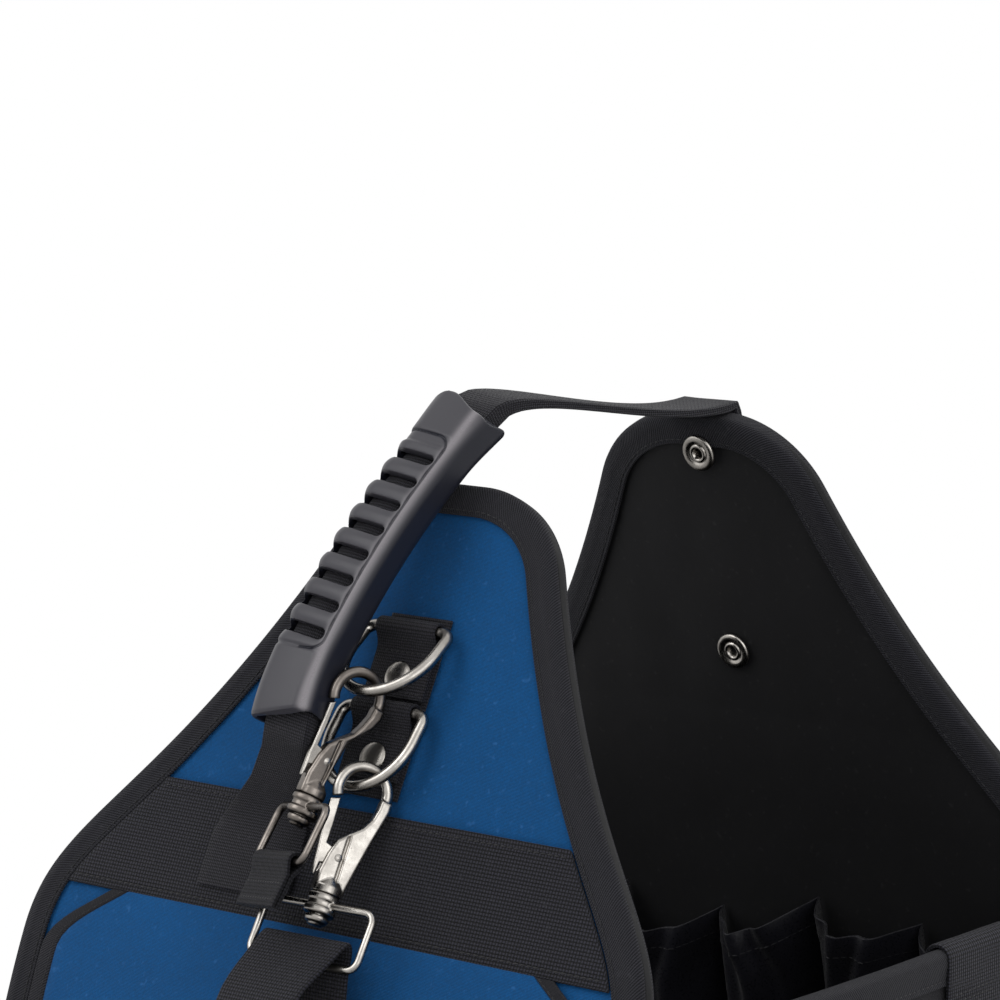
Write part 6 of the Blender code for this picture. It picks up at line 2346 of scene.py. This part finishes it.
    def pin(self) -> bpy.types.Mesh:
        """The hinge pin, riveted over at both ends.

        Returns:
            The mesh.
        """
        reach = self.thickness / 2
        return turned([(0.01 * MM, -reach - 0.35 * MM), (1.3 * MM, -reach - 0.25 * MM),
                       (1.7 * MM, -reach + 0.05 * MM),
                       (1.2 * MM, -reach + 0.1 * MM), (1.2 * MM, reach - 0.1 * MM),
                       (1.7 * MM, reach - 0.05 * MM),
                       (1.3 * MM, reach + 0.25 * MM), (0.01 * MM, reach + 0.35 * MM)], 28)

    def loop(self) -> bpy.types.Mesh:
        """The wire loop cast onto its boss, which turns on the stud.

        Returns:
            The mesh.
        """
        outline = rounded_rectangle(self.loop_half_width, self.loop_height / 2, 4.5 * MM, 8)
        dense = []
        for first, second in zip(outline, outline[1:] + outline[:1]):
            count = max(int(math.hypot(second[0] - first[0], second[1] - first[1]) / (2.5 * MM)), 1)
            dense += [tuple(a + (b - a) * k / count for a, b in zip(first, second)) for k in range(count)]
        ring = wire([Vector((x, y - self.loop_height / 2, 0)) for x, y in dense], self.shown_wire,
                    closed=True, sides=18)
        half, r, bore = self.boss_height / 2, self.boss_radius, self.stud + GAP
        profile = [(bore, half), (r - 0.8 * MM, half), (r, half - 0.7 * MM), (r, half - 2.6 * MM),
                   (r - 0.9 * MM, half - 3.1 * MM), (r - 0.9 * MM, -half + 3.1 * MM), (r, -half + 2.6 * MM),
                   (r, -half + 0.7 * MM), (r - 0.8 * MM, -half), (bore, -half), (bore, half)]
        boss = turned(profile, 36)
        boss.transform(Matrix.Rotation(math.radians(-90), 4, "X"))
        body = cast(joined([ring, boss]), 0.36 * MM, 4)
        drill = turned([(0.01 * MM, -half * 2), (bore, -half * 2), (bore, half * 2), (0.01 * MM, half * 2)],
                       24)
        drill.transform(Matrix.Rotation(math.radians(-90), 4, "X"))
        return cut(body, [drill])


# Shoulder strap


@dataclass
class ShoulderStrap:
    """The shoulder strap: its short sewn end on the upper hook, and a folded hank below the lower one."""

    upper: SnapHook
    lower: SnapHook
    strap_width: float = 44.0 * MM
    hank_top: float = 238.0 * MM
    hank_bottom: float = 322.0 * MM
    inner_off: float = 12.8 * MM
    runs: int = 6
    pitch: float = 3.4 * MM
    back_off: float = 9.2 * MM
    back_depth: float = 300.0 * MM
    keeper_width: float = 25.0 * MM
    keeper_depth: float = 278.0 * MM
    keeper_room: float = 0.8 * MM
    tab_length: float = 20.0 * MM
    loop_rise: float = 6.0 * MM
    fold_shift: float = 8.0 * MM
    fold_bulge: float = 6.0 * MM
    fold_reach: float = 60.0 * MM

    def build(self) -> None:
        """Builds the end tab, the hank and its keeper."""
        self.end_tab()
        middle = self.hank()
        self.keeper(middle)

    def path(self, bar_depth: float, bar_off: float) -> list[tuple[float, float]]:
        """Depth and off along the strap's middle, from behind the bar to the end of its last run.

        Args:
            bar_depth: the depth of the loop's bar.
            bar_off: its off.

        Returns:
            The pairs in order.
        """
        radius = self.lower.loop_wire + 2 * GAP + WEBBING_THICKNESS / 2
        corners = [(self.back_depth, self.back_off), (self.hank_top, self.back_off)]
        corners += [(bar_depth - (radius + self.loop_rise) * math.sin(math.radians(a)),
                     bar_off - radius * math.cos(math.radians(a))) for a in range(0, 181, 12)]
        off = self.inner_off + self.pitch * (self.runs - 1)
        turn = self.pitch / 2
        corners.append((self.hank_top, off))
        for run in range(self.runs):
            level, sign = (self.hank_bottom, 1) if run % 2 == 0 else (self.hank_top + 2 * turn, -1)
            if run == self.runs - 1:
                corners.append((level, off))
                break
            corners += [(level + sign * turn * math.sin(math.radians(a)),
                         off - turn + turn * math.cos(math.radians(a))) for a in range(0, 181, 20)]
            off -= self.pitch
        path = [corners[0]]
        for before, after in zip(corners, corners[1:]):
            count = max(round(abs(after[0] - before[0]) / (5 * MM)), 1)
            path += [tuple(a + (b - a) * i / count for a, b in zip(before, after))
                     for i in range(1, count + 1)]
        return path

    def hank(self) -> float:
        """The strap over the lower loop's bar and folded to and fro.

        Returns:
            The X of the hank's middle.
        """
        place = self.lower.loop_matrix
        middle = place @ Vector((0, -self.lower.loop_height, 0))
        along = (place.to_3x3() @ Vector((1, 0, 0))).normalized()
        along = along * (1 if along.x > 0 else -1)
        lines = []
        for share in (-1, 0, 1):
            spot = middle + along * (share * self.strap_width / 2 / along.x)
            depth, off = FRONT.locate(spot)
            lines.append([(spot.x, d, o) for d, o in self.path(depth, off)])
        count = min(len(line) for line in lines)
        stations = []
        depths = [row[1] for row in lines[1]]
        top = depths.index(min(depths))
        for i in range(count):
            fallen = min((depths[i] - depths[top]) / self.fold_reach, 1.0) if i > top else 0.0
            share = math.sin(math.pi * fallen) ** 1.5 if i < count // 2 else 0.0
            row = [FRONT.point(x - self.fold_shift * share, depth, off + self.fold_bulge * share * lift)
                   for (x, depth, off), lift in zip((line[i] for line in lines), (0.4, 0.8, 1.4))]
            stations.append(tuple(row))
        final = []
        for i, (left, centre, right) in enumerate(stations):
            before, after = stations[max(i - 1, 0)][1], stations[min(i + 1, count - 1)][1]
            run = (after - before).normalized()
            across = right - left
            width = across.length
            across.normalize()
            out = across.cross(run).normalized()
            final.append(Station(centre, across, out, width, WEBBING_THICKNESS))
        show("folded_shoulder_strap", strap(final, columns=12, ripple=0.12 * MM, seed=6), [COARSE_WEBBING],
             "strap_body", ["shoulder_strap"])
        return middle.x

    def keeper(self, x: float) -> None:
        """An elastic band round the hank.

        Args:
            x: the X of its middle.
        """
        low = self.back_off - WEBBING_THICKNESS / 2 - self.keeper_room
        high = self.inner_off + self.pitch * (self.runs - 1) + WEBBING_THICKNESS / 2 + self.keeper_room
        half_x, half_off = self.strap_width / 2 + self.keeper_room, (high - low) / 2
        frame = FRONT.frame(x, self.keeper_depth, (high + low) / 2)
        middle = rounded_rectangle(half_x + 0.9 * MM, half_off + 0.9 * MM, 2.6 * MM, 8)
        rings = []
        for px, pz in middle:
            pull = 1 - 0.35 * MM / math.hypot(px, pz)
            ring = []
            for sx, sy in rounded_rectangle(0.9 * MM, self.keeper_width / 2, 0.7 * MM, 4):
                radial = Vector((px, 0, pz)).normalized()
                spot = Vector((px, 0, pz)) * pull + radial * sx
                ring.append(frame @ Vector((spot.x, sy, spot.z)))
            rings.append(ring)
        show("elastic_keeper", tubed(rings, closed=True), [BINDING_TAPE], "keeper_body", ["strap_keeper"])

    def end_tab(self) -> None:
        """Webbing folded round the upper loop's bar, its two layers sewn together."""
        bore = self.upper.loop_wire + GAP
        middle = bore + WEBBING_THICKNESS / 2
        gap = WEBBING_THICKNESS / 2 + GAP / 4
        path = [(-gap, -self.tab_length + self.tab_length * 0.7 * i / 7) for i in range(8)]
        path += arc((0.0, 0.0), middle, 205, -25, 24)
        path += [(gap, -self.tab_length * 0.3 - self.tab_length * 0.7 * i / 7) for i in range(8)]
        frame = self.upper.loop_matrix @ Matrix.Translation((0, -self.upper.loop_height, 0))
        points = [frame @ Vector((0, y, -x)) for x, y in path]
        across = frame.to_3x3() @ Vector((1, 0, 0))
        stations = folded(points, across, self.strap_width, WEBBING_THICKNESS - 0.1 * MM)
        show("sewn_strap_end", strap(stations, ripple=0.1 * MM, columns=12), [SHADED_WEBBING],
             "strap_end_body", ["strap_end_tab"])
        seams = []
        rise = gap + WEBBING_THICKNESS / 2 - 0.15 * MM
        for side in (1, -1):
            facing = frame.to_3x3() @ Vector((0, 0, side))
            for drop in (10 * MM, 17 * MM):
                places = [frame @ Vector((self.strap_width * 0.44 * (k / 8 - 1), -drop, side * rise))
                          for k in range(17)]
                seams.append(Seam(places, [facing] * 17, 2.8 * MM))
        show("strap_end_thread", stitches(seams), [THREAD], "strap_end_body")


# Studio


@dataclass
class Studio:
    """The pale floor, the level soft light and the camera at the photograph's angle."""

    lens: float = 146.04
    location: tuple[float, float, float] = (1.05392, -1.31885, 0.59570)
    right: tuple[float, float, float] = (0.77347, 0.63383, 0.0)
    up: tuple[float, float, float] = (-0.08930, 0.10897, 0.99003)
    back: tuple[float, float, float] = (0.62751, -0.76576, 0.14089)

    def build(self) -> None:
        """Sets up the world, lamps, floor and camera."""
        scene = bpy.context.scene
        scene.view_settings.view_transform = "Standard"
        self.world(scene)
        self.floor()
        self.lamp("key", (-0.9, -1.5, 1.9), (0.0, -0.05, 0.25), 1.5, 17.0)
        self.lamp("fill", (1.9, -0.9, 1.1), (0.0, -0.05, 0.2), 1.4, 9.0)
        self.lamp("back", (0.4, 1.7, 1.7), (0.0, 0.0, 0.25), 1.4, 10.0)
        data = bpy.data.cameras.new("camera")
        data.lens = self.lens
        data.sensor_width = 36.0
        data.clip_start = 0.05
        camera = bpy.data.objects.new("camera", data)
        camera.matrix_world = axes(Vector(self.right), Vector(self.up), Vector(self.back),
                                   Vector(self.location))
        scene.collection.objects.link(camera)
        scene.camera = camera

    def world(self, scene: bpy.types.Scene) -> None:
        """White to the camera, a plain level grey-white to the object.

        Args:
            scene: the scene.
        """
        world = bpy.data.worlds.new("studio")
        scene.world = world
        world.use_nodes = True
        tree = world.node_tree
        tree.nodes.clear()
        n = Nodes(tree)
        path = n.add("ShaderNodeLightPath")
        soft = n.add("ShaderNodeBackground", {"Color": (1.0, 1.0, 1.0, 1.0), "Strength": 0.55})
        white = n.add("ShaderNodeBackground", {"Color": (1.0, 1.0, 1.0, 1.0), "Strength": 1.0})
        seen = n.math("MAXIMUM", path.outputs["Is Camera Ray"], n.math(
            "MAXIMUM", path.outputs["Is Glossy Ray"], path.outputs["Is Transmission Ray"]))
        mix = n.add("ShaderNodeMixShader", {0: seen, 1: soft.outputs[0], 2: white.outputs[0]})
        n.add("ShaderNodeOutputWorld", {"Surface": mix.outputs[0]})

    def floor(self) -> None:
        """A wide white floor that keeps the bag's shadow near it."""
        mesh = bpy.data.meshes.new("floor")
        size = 30.0
        mesh.from_pydata([(-size, -size, 0), (size, -size, 0), (size, size, 0), (-size, size, 0)], [],
                         [(0, 1, 2, 3)])
        material = bpy.data.materials.new("floor")
        material.use_nodes = True
        n = Nodes(material.node_tree)
        material.node_tree.nodes.clear()
        matte = n.add("ShaderNodeBsdfDiffuse", {"Color": (0.86, 0.86, 0.86, 1.0)})
        lit = n.add("ShaderNodeEmission", {"Color": (1.0, 1.0, 1.0, 1.0), "Strength": 1.0})
        place = n.add("ShaderNodeNewGeometry").outputs["Position"]
        away = n.add("ShaderNodeVectorMath", {0: place}, operation="LENGTH").outputs["Value"]
        fade = n.ramp(away, 0.36, 0.6)
        eye = n.add("ShaderNodeLightPath").outputs["Is Camera Ray"]
        mix = n.add("ShaderNodeMixShader",
                    {0: n.math("MULTIPLY", fade, eye), 1: matte.outputs[0], 2: lit.outputs[0]})
        n.add("ShaderNodeOutputMaterial", {"Surface": mix.outputs[0]})
        mesh.materials.append(material)
        obj = bpy.data.objects.new("floor", mesh)
        obj.location.z = -0.0005
        bpy.context.scene.collection.objects.link(obj)

    def lamp(self, name: str, place: tuple, target: tuple, size: float, power: float) -> None:
        """A square soft lamp that points at the bag.

        Args:
            name: its name.
            place: where it stands.
            target: where it points.
            size: the length of its side.
            power: its power in watts.
        """
        data = bpy.data.lights.new(name, "AREA")
        data.shape = "SQUARE"
        data.size = size
        data.energy = power
        obj = bpy.data.objects.new(name, data)
        obj.location = place
        obj.rotation_euler = (Vector(target) - Vector(place)).to_track_quat("-Z", "Y").to_euler()
        bpy.context.scene.collection.objects.link(obj)


def main() -> None:
    """Dresses the whole bag."""
    logging.basicConfig(level=logging.INFO, format="%(name)s: %(message)s")
    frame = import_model()
    Studio().build()
    for end in (FRONT, REAR):
        DressedEnd(end).build()
    for word, side in (("left", -1), ("right", 1)):
        SideWall(word, side).build()
    Base(frame["nodes"]).build()
    mount = RingMount()
    mount.build()
    Handle().build()
    # The upper hook's body and loop take the shaded copy of the nickel: painted shade for the grip's shadow.
    upper = SnapHook("upper", mount, -1.0 * MM, -6.2, 68.0, 5.5, 82.0, slim=0.62, finish=SHADED_NICKEL)
    lower = SnapHook("lower", mount, 8.5 * MM, 1.0, 57.0, 5.5, -57.0)
    upper.build()
    lower.build()
    ShoulderStrap(upper, lower).build()


if __name__ == "__main__":
    main()
